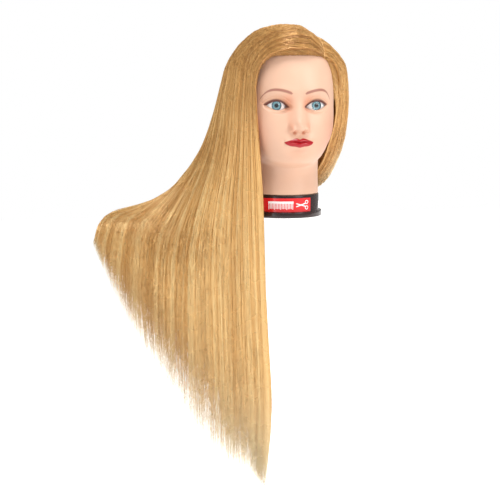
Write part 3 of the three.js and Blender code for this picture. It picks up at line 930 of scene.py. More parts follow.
def skin_at(turn, height):
    """Places on the skin at given angles and heights."""
    shares = np.linspace(0, 1, 240)
    found = []
    for one_turn, one_height in zip(turn, height):
        ring = head_point(np.full(shares.shape, one_turn), shares)
        share = np.interp(-one_height, -ring[:, 2], shares)
        found.append(head_point(np.array([one_turn]), np.array([share]))[0])
    return np.array(found)


print("nose tip:", head_point(np.array([0.0]), np.array([0.475])).round(1))

# %% [markdown]
# ## Skin mesh
# A flat grid is unrolled round the head: its columns are angles and its rows are levels. The grid is made
# finer where the face needs it while it is still flat, which keeps its quads clean, and only then is each
# vertex moved to its place on the head. The doubled seam and the crown's pole are merged afterwards.

# %% The grid and its finer windows
GRID = {"turns": 216, "rows": 222}
FACE_FIRST = 0.45  # how much closer the columns lie on the face than on the back of the head
SPIGOT = {"radius": BASE["bore"] - CLEARANCE, "top": 34.8, "bottom": 13}


def grid_place(co):
    """The turn and share that a vertex of the flat grid stands for."""
    around = 2 * math.pi * co[:, 0]
    return around - FACE_FIRST * np.sin(around), 0.5 - co[:, 1]


def refine(shape, wanted):
    """Cuts the faces whose middles are wanted, given as X, Y, Z on the head, into four."""
    centres = np.array([face.calc_center_median() for face in shape.faces])
    chosen = wanted(head_point(*grid_place(centres)))
    edges = {edge for face, use in zip(shape.faces, chosen) if use for edge in face.edges}
    bmesh.ops.subdivide_edges(shape, edges=list(edges), cuts=1, use_grid_fill=True)


def whole_face(p):
    return (p[:, 1] < -28) & (p[:, 2] > 100) & (p[:, 2] < 200)


def eyes_and_mouth(p):
    side = np.abs(p[:, 0])
    eyes = (np.abs(side - EYE["x"]) < 20) & (np.abs(p[:, 2] - EYE["z"]) < 12)
    mouth = (side < 26) & (np.abs(p[:, 2] - MOUTH["z"]) < 10)
    return (eyes | mouth) & (p[:, 1] < -28)


skin = bmesh.new()
bmesh.ops.create_grid(skin, x_segments=GRID["turns"], y_segments=GRID["rows"], size=0.5)
refine(skin, whole_face)
refine(skin, eyes_and_mouth)
flat = np.array([vert.co for vert in skin.verts])
skin_turn, skin_share = grid_place(flat)
turn_layer = skin.verts.layers.float.new("turn")
places = lay_lids(head_point(skin_turn, skin_share))
for vert, place, turn in zip(skin.verts, places * MM, skin_turn):
    vert.co = place
    vert[turn_layer] = turn
bmesh.ops.remove_doubles(skin, verts=skin.verts, dist=2e-6)
print("skin:", len(skin.verts), "vertices")

# %% [markdown]
# ## Eye openings and neck
# The lids are cut out of the skin: faces inside the almond outline go, the rim left behind is drawn onto
# the outline, and it is then extruded back round the eyeball to close the pocket. The neck goes on down
# into the ring as a straight spigot, closed below.

# %% Cutting the lids and closing the mesh
POCKET = {"clearance": 0.9, "rings": 7}
LID_EDGE = 0.25


def cut_eye(side):
    inside = []
    for face in skin.faces:
        middle = face.calc_center_median() / MM
        if middle.y < -30 and abs(side * middle.x - EYE["x"]) < 18 and abs(middle.z - EYE["z"]) < 12:
            inside.append((face, side * middle.x, middle.z))
    gap, _ = almond_distance(np.array([x for _, x, _ in inside]), np.array([z for _, _, z in inside]))
    cut_faces = [face for (face, _, _), g in zip(inside, gap) if g < LID_EDGE]
    bmesh.ops.delete(skin, geom=cut_faces, context="FACES")
    rim = [e for e in skin.edges if e.is_boundary and side * e.verts[0].co.x > 0 and e.verts[0].co.z > 0.1]
    corners = list({vert for edge in rim for vert in edge.verts})
    places = np.array([vert.co for vert in corners]) / MM
    _, nearest = almond_distance(side * places[:, 0], places[:, 2])
    for vert, (x, z) in zip(corners, nearest):
        vert.co.x = side * (x + EYE["x"]) * MM
        vert.co.z = (z + EYE["z"]) * MM
        corner = float(np.interp(x, [-16, 16], LID["corners"]))
        ball = float(eyeball_front(x + EYE["x"], z + EYE["z"])) - LID["stand"]
        vert.co.y = (min(ball, corner) + 0.2) * MM
    close_pocket(rim, side)


def close_pocket(rim, side):
    """Wraps the lid's rim round the back of the eyeball, ring by ring."""
    centre = Vector((side * EYE["x"], EYE["y"], EYE["z"])) * MM
    radius = (EYE["radius"] + POCKET["clearance"]) * MM
    for ring in range(1, POCKET["rings"] + 1):
        grown = bmesh.ops.extrude_edge_only(skin, edges=rim)["geom"]
        rim = [item for item in grown if isinstance(item, bmesh.types.BMEdge) and item.is_boundary]
        for vert in {vert for edge in rim for vert in edge.verts}:
            away = vert.co - centre
            polar = away.angle(Vector((0, -1, 0)))
            left = POCKET["rings"] - ring + 1
            polar = polar + (math.pi - polar) / left if ring > 1 else polar
            spoke = Vector((away.x, 0, away.z)).normalized()
            wrap = spoke * math.sin(polar) - Vector((0, 1, 0)) * math.cos(polar)
            vert.co = centre + radius * Vector((wrap.x * BALL_WIDTH, wrap.y, wrap.z))
    bmesh.ops.remove_doubles(skin, verts=list({v for e in rim for v in e.verts}), dist=2e-4)


def close_neck():
    rim = [edge for edge in skin.edges if edge.is_boundary and edge.verts[0].co.z < 0.05]
    for radius, height in ((SPIGOT["radius"], SPIGOT["top"]), (SPIGOT["radius"], SPIGOT["bottom"])):
        grown = bmesh.ops.extrude_edge_only(skin, edges=rim)["geom"]
        rim = [item for item in grown if isinstance(item, bmesh.types.BMEdge) and item.is_boundary]
        for vert in {vert for edge in rim for vert in edge.verts}:
            spoke = Vector((vert.co.x, vert.co.y, 0)).normalized() * radius
            vert.co = Vector((spoke.x, spoke.y, height)) * MM
    bmesh.ops.edgeloop_fill(skin, edges=rim)


for side in (-1, 1):
    cut_eye(side)
close_neck()
bmesh.ops.recalc_face_normals(skin, faces=skin.faces)
print("open edges left:", sum(edge.is_boundary for edge in skin.edges))

# %% [markdown]
# ## Painted features
# The factory sprays and stencils the make-up onto the vinyl. Each colour is a mask from 0 to 1 on the
# mesh's vertices, worked out from the same outlines as the relief, and the material mixes the paints by
# those masks. One mask is partly blush and partly painted shade in the face's hollows and creases, and
# the scalp under the hair takes the roots' colour, painted darker as the shade under the hair.
# Attributes like these survive any later change of the mesh's place.

# %% Paint masks
HAIRLINE = {
    "turn": [0, 20, 36, 47, 55, 62, 68, 78, 92, 112, 130, 150, 180],
    "height": [247, 247, 246, 240, 222, 201, 182, 158, 150, 148, 118, 95, 88],
}


def hairline_height(turn):
    return np.interp(np.abs(np.degrees(turn)), HAIRLINE["turn"], HAIRLINE["height"])


def paint_masks(mesh):
    co = np.empty(len(mesh.vertices) * 3)
    mesh.vertices.foreach_get("co", co)
    x, y, z = co.reshape(-1, 3).T / MM
    side = np.abs(x)
    turn = np.empty(len(x))
    mesh.attributes["turn"].data.foreach_get("value", turn)
    face = (y < -25).astype(float)
    upper, lower = lip_edges(side)
    lips = smoothstep(upper + 0.4 - z, 0, 0.8) * smoothstep(z - lower + 0.7, 0, 1.4)
    lips = lips * (side < MOUTH["half"])
    brow_height, brow_half = brow_curve(side)
    brow_edge = smoothstep(np.abs(z - brow_height), brow_half * 0.6, brow_half * 1.25 + 0.1)
    brows = (1 - brow_edge) * (brow_half > 0)
    gap = np.full(len(x), 99.0)
    near = (np.abs(side - EYE["x"]) < 32) & (np.abs(z - EYE["z"]) < 26) & (y < -25)
    gap[near] = almond_distance(side[near], z[near])[0]
    on_top = smoothstep(z - (EYE["z"] - 2.6 + 0.1 * (side - EYE["x"])), 0, 2.5)
    outward = smoothstep(side, EYE["x"] - 16, EYE["x"] + 14)
    liner_width = 2.9 + 1.2 * outward
    liner = (1 - smoothstep(gap, liner_width * 0.55, liner_width * 1.35)) * on_top
    lower_liner = (1 - smoothstep(gap, 0.0, 1.0)) * (1 - on_top) * 0.5 * outward
    shadow = bump(gap, 1.0, 6.5) * on_top
    # Painted shade and blush: the next three marks darken and redden the eyes' inner corners, the sides of
    # the nose, its wings and nostrils and the hollow above the chin; on the jaw's sides the pink is partly
    # blush and partly painted shade.
    socket = bump(side, 15, 8) * bump(z, 178, 12) + 0.4 * bump(side, 14, 5) * bump(z, 158, 16)
    jaw = bump(side, 64, 18) * bump(z, 125, 32) + 0.4 * bump(side, 0, 16) * bump(z, 100, 9)
    nose = 0.6 * bump(side, 13, 4) * bump(z, 139, 8) + bump(side, 6.4, 2.2) * bump(z, 133, 2.2)
    # Painted shade: the scalp above the hairline takes the roots' hair colour, painted darker as the shade
    # under the hair.
    shaded_roots = smoothstep(z - hairline_height(turn), -1.5, 2.5)
    masks = {
        "lips": lips * face,
        "brows": brows * face,
        "liner": np.maximum(liner, lower_liner) * face,
        "shadow": shadow * face,
        "blush_and_shade": np.clip((socket + jaw + nose) * face, 0, 1),
        "shaded_roots": shaded_roots,
    }
    for name, values in masks.items():
        layer = mesh.attributes.new(name, "FLOAT", "POINT")
        layer.data.foreach_set("value", np.clip(values, 0, 1).astype(np.float32))
        print(f"mask {name}: {int((values > 0.5).sum())} vertices")


def painted_vinyl():
    material, nodes, links = new_material("vinyl_skin")
    surface = nodes["Principled BSDF"]
    texture = nodes.new("ShaderNodeGroup")
    texture.node_tree = GRAIN
    texture.inputs["Grain Scale"].default_value = 1400.0
    texture.inputs["Roughness"].default_value = 0.46
    texture.inputs["Roughness Change"].default_value = 0.08
    ramp = nodes.new("ShaderNodeValToRGB")
    ramp.color_ramp.elements[0].color = linear(219, 175, 148)
    ramp.color_ramp.elements[1].color = linear(224, 183, 156)
    links.new(texture.outputs["Mottle"], ramp.inputs["Fac"])
    paint = ramp.outputs["Color"]
    for mask, colour, strength in (
        # Painted shade: the next mask darkens and reddens the face's hollows and creases; on the jaw's sides
        # it is partly blush.
        ("blush_and_shade", linear(218, 138, 106), 0.6),
        ("shadow", linear(214, 150, 110), 0.5),
        ("brows", linear(156, 100, 84), 0.92),
        ("liner", linear(84, 32, 28), 0.94),
        ("lips", linear(168, 10, 24), 1.0),
        # Painted shade: the scalp's root colour is darker than the hair, as the shade under it.
        ("shaded_roots", linear(176, 128, 70), 0.9),
    ):
        source = nodes.new("ShaderNodeAttribute")
        source.attribute_name = mask
        amount = nodes.new("ShaderNodeMath")
        amount.operation = "MULTIPLY"
        amount.inputs[1].default_value = strength
        mix = nodes.new("ShaderNodeMix")
        mix.data_type = "RGBA"
        mix.inputs[7].default_value = colour
        links.new(source.outputs["Fac"], amount.inputs[0])
        links.new(amount.outputs[0], mix.inputs[0])
        links.new(paint, mix.inputs[6])
        paint = mix.outputs[2]
        if mask == "lips":
            gloss = nodes.new("ShaderNodeMix")
            gloss.inputs[3].default_value = 0.16
            links.new(source.outputs["Fac"], gloss.inputs[0])
            links.new(texture.outputs["Roughness"], gloss.inputs[2])
            links.new(gloss.outputs[0], surface.inputs["Roughness"])
    links.new(paint, surface.inputs["Base Color"])
    raised = nodes.new("ShaderNodeBump")
    raised.inputs["Distance"].default_value = 0.00002
    links.new(texture.outputs["Height"], raised.inputs["Height"])
    links.new(raised.outputs["Normal"], surface.inputs["Normal"])
    return material


skin_mesh = bpy.data.meshes.new("painted_head")
skin.to_mesh(skin_mesh)
skin.free()
paint_masks(skin_mesh)
finish_piece("painted_head", skin_mesh, painted_vinyl(), ["head_skin"], math.radians(70))

# %% [markdown]
# ## Foam core
# Inside the vinyl is a hard foam core, hidden by the skin and the base. It takes the head's own form, drawn
# well in from the skin so that it can't show through at the eyes or the jaw, with a hole for the clamp's
# socket. It is smaller than a real core would be, and has no pockets for the eyes. Its material is pale foam
# with open cells, which a Voronoi texture makes.

# %% Foam


def foam_material():
    material, nodes, links = new_material("core_foam")
    surface = nodes["Principled BSDF"]
    surface.inputs["Roughness"].default_value = 0.9
    place = nodes.new("ShaderNodeTexCoord")
    cells = nodes.new("ShaderNodeTexVoronoi")
    cells.inputs["Scale"].default_value = 700
    ramp = nodes.new("ShaderNodeValToRGB")
    ramp.color_ramp.elements[0].color = linear(206, 190, 150)
    ramp.color_ramp.elements[1].color = linear(236, 224, 190)
    raised = nodes.new("ShaderNodeBump")
    raised.inputs["Distance"].default_value = 0.0004
    links.new(place.outputs["Object"], cells.inputs["Vector"])
    links.new(cells.outputs["Distance"], ramp.inputs["Fac"])
    links.new(ramp.outputs["Color"], surface.inputs["Base Color"])
    links.new(cells.outputs["Distance"], raised.inputs["Height"])
    links.new(raised.outputs["Normal"], surface.inputs["Normal"])
    return material


CORE = {
    "turns": 64,
    "levels": 48,
    "inset": ([60, 110], [6, 20]),
    "middle": (0, 5),
    "heights": (50, 190),
    "radius": SPIGOT["radius"] - 5,
    "hole": 14.2,
    "hole_top": 66,
}


def core_shape():
    """The head's form without its wall: every level drawn in towards the middle, with the socket's hole."""
    shape = bmesh.new()
    bmesh.ops.create_grid(shape, x_segments=CORE["turns"], y_segments=CORE["levels"], size=0.5)
    flat_grid = np.array([vert.co for vert in shape.verts])
    place = head_point(2 * np.pi * flat_grid[:, 0], 0.5 - flat_grid[:, 1])
    middle = np.full(place.shape, (*CORE["middle"], 0.0))
    middle[:, 2] = np.clip(place[:, 2], *CORE["heights"])
    place = place + unit(middle - place) * np.interp(place[:, 2], *CORE["inset"])[:, None]
    for vert, co in zip(shape.verts, place * MM):
        vert.co = co
    bmesh.ops.remove_doubles(shape, verts=shape.verts, dist=1e-5)
    rim = [edge for edge in shape.edges if edge.is_boundary]
    low, radius, hole, top = SPIGOT["bottom"], CORE["radius"], CORE["hole"], CORE["hole_top"]
    for reach, height in ((radius, low), (hole, low), (hole, top)):
        grown = bmesh.ops.extrude_edge_only(shape, edges=rim)["geom"]
        rim = [item for item in grown if isinstance(item, bmesh.types.BMEdge) and item.is_boundary]
        for vert in {vert for edge in rim for vert in edge.verts}:
            spoke = Vector((vert.co.x, vert.co.y, 0)).normalized() * reach
            vert.co = Vector((spoke.x, spoke.y, height)) * MM
    bmesh.ops.edgeloop_fill(shape, edges=rim)
    bmesh.ops.recalc_face_normals(shape, faces=shape.faces)
    return shape


piece_from("foam_core_moulding", core_shape(), foam_material(), ["foam_core"])

# %% [markdown]
# ## Hair: the sheets that the locks follow
# Long combed hair lies in sheets. Each guide is one lock's course from the parting to the tip, and the
# sheet between two guides follows both. These are the same guides as the CAD model's, so the hair hangs in
# the space that the frame holds for it. A place on a sheet has two shares, across it and along it.

# %% Guides
FALL_GUIDES = np.array([
    [[44, -66, 250], [8, -88, 257], [-43, -83, 249], [-62, -72, 224], [-64, -73, 168], [-56, -68, 100],
     [-50, -65, 30], [-48, -66, -45], [-44, -66, -160], [-36, -67, -300], [-46, -65, -434]],
    [[46, -60, 260], [14, -74, 281], [-32, -70, 274], [-66, -56, 246], [-74, -55, 190], [-77, -57, 100],
     [-78, -57, 28], [-77, -58, -45], [-74, -59, -160], [-70, -60, -290], [-68, -60, -408]],
    [[47, -45, 273], [8, -46, 294], [-40, -43, 284], [-78, -32, 248], [-88, -36, 195], [-96, -39, 102],
     [-109, -42, 26], [-117, -48, -45], [-115, -49, -155], [-112, -49, -280], [-111, -49, -383]],
    [[46, -20, 282], [4, -18, 297], [-44, -15, 288], [-84, -8, 248], [-97, -4, 195], [-112, -10, 103],
     [-137, -20, 27], [-154, -36, -43], [-159, -37, -140], [-158, -37, -236], [-156, -37, -335]],
    [[44, 8, 286], [0, 12, 297], [-47, 14, 287], [-86, 20, 244], [-102, 26, 182], [-123, 28, 95],
     [-163, 17, 24], [-196, -18, -32], [-204, -26, -110], [-204, -26, -180], [-200, -26, -257]],
    [[42, 32, 282], [-2, 42, 291], [-46, 50, 276], [-82, 55, 230], [-100, 57, 170], [-129, 57, 92],
     [-187, 48, 24], [-237, -2, -10], [-249, -15, -67], [-251, -16, -125], [-248, -16, -180]],
    [[38, 45, 278], [0, 69, 278], [-38, 86, 253], [-62, 96, 205], [-84, 92, 150], [-120, 86, 85],
     [-195, 68, 20], [-274, 12, 0], [-288, -1, -30], [-291, -2, -55], [-291, -2, -78]],
    [[31, 56, 276], [28, 87, 263], [14, 107, 232], [-8, 113, 188], [-34, 106, 140], [-80, 102, 80],
     [-180, 92, 22], [-272, 46, 6], [-294, 16, -10], [-300, 6, -26], [-305, 4, -40]],
], float)
LEFT_GUIDES = np.array([
    [[52, -59, 248], [66, -55, 238], [78, -40, 214], [81, -24, 185], [82, -8, 150], [78, 12, 112],
     [72, 36, 76], [52, 64, 44], [-34, 82, 19], [-120, 62, 8], [-180, 36, 3]],
    [[50, -38, 272], [70, -36, 258], [92, -26, 236], [101, -14, 200], [105, -3, 165], [104, 12, 116],
     [98, 34, 79], [80, 58, 40], [6, 92, 21], [-110, 80, 9], [-200, 46, 3]],
    [[49, -5, 284], [73, 4, 265], [93, 14, 238], [101, 26, 195], [102, 38, 150], [98, 50, 110],
     [88, 68, 74], [60, 88, 47], [-18, 105, 24], [-130, 92, 9], [-225, 56, 3]],
    [[43, 34, 281], [65, 50, 259], [80, 68, 228], [83, 80, 185], [78, 88, 140], [60, 96, 95],
     [30, 104, 62], [-16, 108, 40], [-90, 108, 20], [-170, 98, 9], [-250, 62, 3]],
    [[33, 57, 275], [30, 84, 260], [12, 100, 230], [-10, 102, 190], [-42, 98, 140], [-86, 92, 90],
     [-130, 86, 52], [-170, 80, 26], [-210, 68, 13], [-245, 54, 8], [-268, 40, 4]],
], float)


def sheet_point(guides, across, along):
    """Places on a sheet, in millimetres, at matching lists of shares across it and along it."""
    rows = np.stack([along_curve(guide, along) for guide in guides], axis=1)
    first, last = rows[:, :1], rows[:, -1:]
    padded = np.concatenate([2 * first - rows[:, 1:2], rows, 2 * last - rows[:, -2:-1]], axis=1)
    reach = np.clip(across, 0, 1) * (len(guides) - 1)
    start = np.minimum(reach.astype(int), len(guides) - 2)
    pick = np.arange(len(start))
    return between(*(padded[pick, start + step] for step in range(4)), reach - start)


def sheet_frame(guides, across, along, outwards):
    """Unit directions across a sheet and out of its face."""
    step = 0.01
    u0, u1 = np.clip(across - step, 0, 1), np.clip(across + step, 0, 1)
    v0, v1 = np.clip(along - step, 0, 1), np.clip(along + step, 0, 1)
    over = unit(sheet_point(guides, u1, along) - sheet_point(guides, u0, along))
    down = unit(sheet_point(guides, across, v1) - sheet_point(guides, across, v0))
    return over, unit(np.cross(over, down)) * outwards


print("fall tips from z", FALL_GUIDES[:, -1, 2].min(), "to", FALL_GUIDES[:, -1, 2].max(), "mm")

# %% [markdown]
# ## Hair: one strand, repeated
# A real head has far more fibres. A strand here stands for a small bundle of them: a slim three-sided
# tube of a few dozen faces. Operators make one tube and an Array modifier repeats it. Each copy is then
# laid along its own course over the sheet, thinner at both ends, with its tone, with painted shade and
# light in it, kept as an attribute.

# %% The strand template
STRAND = {"stations": 15, "sides": 3, "half_width": 0.38, "half_depth": 0.24}
RANDOM = np.random.default_rng(7)


def strand_template():
    """A straight tube about Z with one ring at each whole number, for the repeats to be bent from."""
    shape = bmesh.new()
    ring = bmesh.ops.create_circle(shape, segments=STRAND["sides"], radius=1, cap_ends=True)["verts"]
    rim = list({edge for vert in ring for edge in vert.link_edges})
    for _ in range(STRAND["stations"] - 1):
        grown = bmesh.ops.extrude_edge_only(shape, edges=rim)["geom"]
        rim = [item for item in grown if isinstance(item, bmesh.types.BMEdge) and item.is_boundary]
        moved = list({vert for edge in rim for vert in edge.verts})
        bmesh.ops.translate(shape, vec=(0, 0, 1), verts=moved)
    bmesh.ops.edgeloop_fill(shape, edges=rim)
    bmesh.ops.recalc_face_normals(shape, faces=shape.faces)
    return shape


def repeated(shape, count):
    """The template repeated by an Array modifier, as one new mesh."""
    mesh = bpy.data.meshes.new("strand_template")
    shape.to_mesh(mesh)
    carrier = bpy.data.objects.new("strand_template", mesh)
    scene.collection.objects.link(carrier)
    array = carrier.modifiers.new("copies", "ARRAY")
    array.count = count
    array.use_relative_offset = False
    copies = bpy.data.meshes.new_from_object(carrier.evaluated_get(bpy.context.evaluated_depsgraph_get()))
    bpy.data.objects.remove(carrier)
    return copies


template = strand_template()
print("one strand:", len(template.faces), "faces")

# %% [markdown]
# ## Hair: courses, clumps and tones
# Combed hair is never even. Neighbouring strands gather into flat locks, some locks lie deeper than
# others, and each lock has its own tone. One slow random wave across the sheet drives all three, and the
# deeper a lock lies the darker it is painted, a painted shade that agrees with the grooves and the shadows
# in them. Strands below the surface are painted darker too. The fall's roots are painted darker and its
# lengths lighter, and the other side darker, with paler outer lanes, as painted shade and light.

# %% Waves across a sheet
LOCKS = {"count": 64, "gather": 0.4, "depth": 1.2, "edge": 0.07}
# On the other side the pale lengths are painted light, on its outer lanes.
PALE = {1: (0.87, 1.0), -1: (0.42, 0.7)}  # shares between which the fall and the other side turn pale
# Painted shade and light: the fall's roots are painted darker and its lengths lighter.
FALL_SHADING = 0.38  # how much lighter the lengths of the fall are than its roots
LEAVE = 0.15  # share of a sheet's length within which a strand has left its root


def lock_values(seed, count=LOCKS["count"]):
    """A random value for each lock of a sheet, from -1 to 1."""
    return np.random.default_rng(seed).uniform(-1, 1, count + 2)


def lock_wave(values, across):
    reach = np.clip(across, 0, 1) * (len(values) - 2)
    first = reach.astype(int)
    part = smoothstep(reach - first, 0.15, 0.85)
    return values[first] * (1 - part) + values[first + 1] * part


def strand_mesh(name, centres, over, out, widths, tones_and_shading, pale):
    """Lays copies of the template along courses, given per strand and station."""
    count, stations, _ = centres.shape
    mesh = repeated(template, count)
    mesh.name = name
    co = np.empty(len(mesh.vertices) * 3)
    mesh.vertices.foreach_get("co", co)
    co = co.reshape(count, -1, 3)
    station = np.rint(co[0, :, 2]).astype(int)
    side, front = co[0, :, 0], co[0, :, 1]
    wide = widths[:, station, None] * STRAND["half_width"]
    deep = widths[:, station, None] * STRAND["half_depth"]
    sideways = over[:, station] * side[:, None] * wide
    outwards_step = out[:, station] * front[:, None] * deep
    laid = centres[:, station] + sideways + outwards_step
    mesh.vertices.foreach_set("co", (laid * MM).ravel())
    for attribute, values in (("tone_and_shading", tones_and_shading), ("pale", pale)):
        layer = mesh.attributes.new(attribute, "FLOAT", "POINT")
        layer.data.foreach_set("value", np.clip(values[:, station], 0, 1).ravel().astype(np.float32))
    mesh.update()
    return mesh


def courses(guides, outwards, seed, across, start, stop, roots, join, depth, rise):
    """Courses over a sheet from roots on the scalp: centres, frames, and tones with painted shade and light
    in them, per strand and station.

    Each strand leaves its root, reaches its own place across the sheet after the share join, and follows
    it to the share stop. rise is where across it starts.
    """
    count = len(across)
    s = np.linspace(0, 1, STRAND["stations"])[None] ** 1.25 * np.ones((count, 1))
    along = start[:, None] + (stop - start)[:, None] * s
    settled = smoothstep(s, 0, join[:, None])
    values = lock_values(seed)
    size = 1 / LOCKS["count"]
    middle = (np.floor(across / size) + 0.5) * size
    gathered = across + (middle - across) * LOCKS["gather"]
    lane = rise[:, None] + (np.where(s > 0, gathered[:, None], 0) - rise[:, None]) * settled
    lane = lane + RANDOM.normal(0, 0.003, (count, 1)) * s + RANDOM.normal(0, 0.012, (count, 1)) * s**6
    lane = np.clip(lane, 0, 1)
    flat_lane, flat_along = lane.ravel(), along.ravel()
    surface = sheet_point(guides, flat_lane, flat_along).reshape(count, -1, 3)
    over, out = sheet_frame(guides, flat_lane, flat_along, outwards)
    over, out = over.reshape(count, -1, 3), out.reshape(count, -1, 3)
    wave = lock_wave(values, lane)
    inside = depth[:, None] + LOCKS["depth"] * (1 - wave) * 0.5
    inside = inside * (0.12 + 0.88 * smoothstep(lane, 0, LOCKS["edge"]))
    centres = surface - out * (inside * (1 - 0.6 * smoothstep(along, 0.75, 1)))[..., None]
    leave = np.minimum(join * 0.9, LEAVE / (stop - start))
    weight = smoothstep(s, 0, leave[:, None])[..., None]
    centres = roots[:, None] * (1 - weight) + centres * weight
    # Painted shade: deeper locks and deeper strands get a darker tone, on top of each lock's own random
    # tone.
    tones_and_shading = 0.46 + 0.17 * wave + RANDOM.normal(0, 0.12, (count, 1)) - 0.03 * depth[:, None]
    # Painted shade and light: the other side is made darker all over, the fall's roots darker and its
    # lengths lighter.
    tones_and_shading = tones_and_shading - 0.1 * (outwards < 0) + FALL_SHADING * (smoothstep(along, 0.2, 0.75) - 0.5) * (outwards > 0)
    pale = smoothstep(along, *PALE[outwards]) * RANDOM.uniform(0.6, 1.0, (count, 1))
    # Painted light: on the other side only the outer lanes turn pale, the inner ones stay golden as painted
    # shade.
    if outwards < 0:
        pale = pale * smoothstep(lane, 0.04, 0.3)
    widths = np.interp(s, [0, 0.05, 0.5, 0.85, 1], [0.6, 1, 1, 0.8, 0.12])
    widths = widths * RANDOM.uniform(0.7, 1.25, (count, 1))
    return centres, over, out, widths, tones_and_shading, pale


print("locks across a sheet:", LOCKS["count"])


# %% Hair fibre material


def hair_fibre():
    """Blond synthetic fibre: three tones by lock, with painted shade and light in them, paler at the tips,
    and on the other side paler outer lanes as painted light, with a soft gloss.
    """
    material, nodes, links = new_material("hair_fibre")
    surface = nodes["Principled BSDF"]
    surface.inputs["Specular IOR Level"].default_value = 0.55
    surface.inputs["Metallic"].default_value = 0.25
    tone_and_shading = nodes.new("ShaderNodeAttribute")
    tone_and_shading.attribute_name = "tone_and_shading"
    pale = nodes.new("ShaderNodeAttribute")
    pale.attribute_name = "pale"
    texture = nodes.new("ShaderNodeGroup")
    texture.node_tree = GRAIN
    texture.inputs["Grain Scale"].default_value = 260.0
    texture.inputs["Roughness"].default_value = 0.27
    texture.inputs["Roughness Change"].default_value = 0.12
    ramp = nodes.new("ShaderNodeValToRGB")
    ramp.color_ramp.elements[0].color = linear(166, 112, 58)
    ramp.color_ramp.elements[1].color = linear(254, 226, 166)
    ramp.color_ramp.elements.new(0.5).color = linear(226, 176, 106)
    mix = nodes.new("ShaderNodeMix")
    mix.data_type = "RGBA"
    mix.inputs[7].default_value = linear(255, 240, 200)
    links.new(tone_and_shading.outputs["Fac"], ramp.inputs["Fac"])
    links.new(pale.outputs["Fac"], mix.inputs[0])
    links.new(ramp.outputs["Color"], mix.inputs[6])
    links.new(mix.outputs[2], surface.inputs["Base Color"])
    links.new(texture.outputs["Roughness"], surface.inputs["Roughness"])
    return material


fibre = hair_fibre()

# %% [markdown]
# ## Hair: beds
# Under the loose strands lies the mass of the hair, too dense to see into. A grid laid on the sheet a few
# millimetres down stands for it. The same lock wave grooves it, and its end is uneven, so that it hides
# behind the tips of the strands. It is painted a little darker than the strands, and darker in its
# grooves, as painted shade.

# %% Laying a bed
BED = {"across": 90, "along": 90, "drop": 3.4, "thick": 1.6, "end": 0.87, "ragged": 0.03}


def bed_mesh(name, place_at, tone_and_shading_at, end_wave):
    """A closed bed from a flat grid. place_at gives the place and the outward direction for shares u, v."""
    shape = bmesh.new()
    bmesh.ops.create_grid(shape, x_segments=BED["across"], y_segments=BED["along"], size=0.5)
    flat_grid = np.array([vert.co for vert in shape.verts])
    u, v = flat_grid[:, 0] + 0.5, 0.5 - flat_grid[:, 1]
    stop = end_wave(u)
    laid, out = place_at(u, v * stop)
    inward_layer = shape.verts.layers.float_vector.new("inwards")
    tone_and_shading_layer = shape.verts.layers.float.new("tone_and_shading")
    pale_layer = shape.verts.layers.float.new("pale")
    tone_and_shading = np.clip(tone_and_shading_at(u, v * stop), 0, 1)
    for vert, place, away, value, share in zip(shape.verts, laid * MM, out, tone_and_shading, v * stop):
        vert.co = place
        vert[inward_layer] = -away
        vert[tone_and_shading_layer] = value
        vert[pale_layer] = float(smoothstep(share, *PALE[1])) * 0.8
    grown = bmesh.ops.extrude_face_region(shape, geom=shape.faces[:], use_keep_orig=True)["geom"]
    for vert in grown:
        if isinstance(vert, bmesh.types.BMVert):
            vert.co += vert[inward_layer] * BED["thick"] * MM
    bmesh.ops.recalc_face_normals(shape, faces=shape.faces)
    mesh = bpy.data.meshes.new(name)
    shape.to_mesh(mesh)
    shape.free()
    return mesh


def sheet_bed(name, guides, outwards, seed, across_range, along_range, drop):
    """The bed of one section of a sheet."""
    low, high = across_range
    begin, end = along_range
    values = lock_values(seed)
    ragged = np.random.default_rng(seed + 100).uniform(-BED["ragged"], BED["ragged"], 61)

    def place_at(u, v):
        across, along = low + (high - low) * u, begin + (end - begin) * v
        surface = sheet_point(guides, across, along)
        _, out = sheet_frame(guides, across, along, outwards)
        groove = LOCKS["depth"] * (1 - lock_wave(values, across)) * 0.5
        fine = 0.25 * np.sin(across * 700) + 0.15 * np.sin(across * 1130 + 2)
        thinner = 1 - 0.75 * smoothstep(along, 0.7, 1)
        depth = (drop + groove + fine) * thinner * (0.3 + 0.7 * smoothstep(across, 0, LOCKS["edge"]))
        return surface - out * depth[:, None], out

    def tone_and_shading_at(u, v):
        across = low + (high - low) * u
        # Painted shade and light: the fall's roots darker, its lengths lighter.
        fall_shading = FALL_SHADING * (smoothstep(v * (end - begin) + begin, 0.2, 0.75) - 0.5) * (outwards > 0)
        # Painted shade: the bed is darker than the strands over it, and darker in its grooves.
        return 0.38 + 0.17 * lock_wave(values, across) + 0.10 * np.sin(across * 760) + fall_shading

    return bed_mesh(name, place_at, tone_and_shading_at, lambda u: BED["end"] + np.interp(u * 60, range(61), ragged))


print("bed:", BED["across"] * BED["along"] * 2, "faces")

# %% [markdown]
# ## Hair: roots
# Hair that shows at its roots starts on the hairline: it rises from the skin, turns back in an arc and
# joins its sheet. The rest starts along the parting. Both kinds of root are found on the head's own
# surface, so no strand starts in the air.

# %% Root places
PARTING_DEPTH = 3.5


def parting_roots(share):
    """Places a little inside the hair, midway between the two sheets' first edges."""
    fall_edge = sheet_point(FALL_GUIDES, share, np.zeros(len(share)))
    left_edge = sheet_point(LEFT_GUIDES, share, np.zeros(len(share)))
    middle = (fall_edge + left_edge) / 2
    inwards = unit(np.array([0, 5, 170]) - middle)
    return middle + inwards * PARTING_DEPTH


def hairline_roots(turns):
    return skin_at(turns, hairline_height(turns) + 1.0)


ROOT_TABLE = np.radians(np.linspace(-75, 80, 63))
ROOT_PLACES = hairline_roots(ROOT_TABLE)


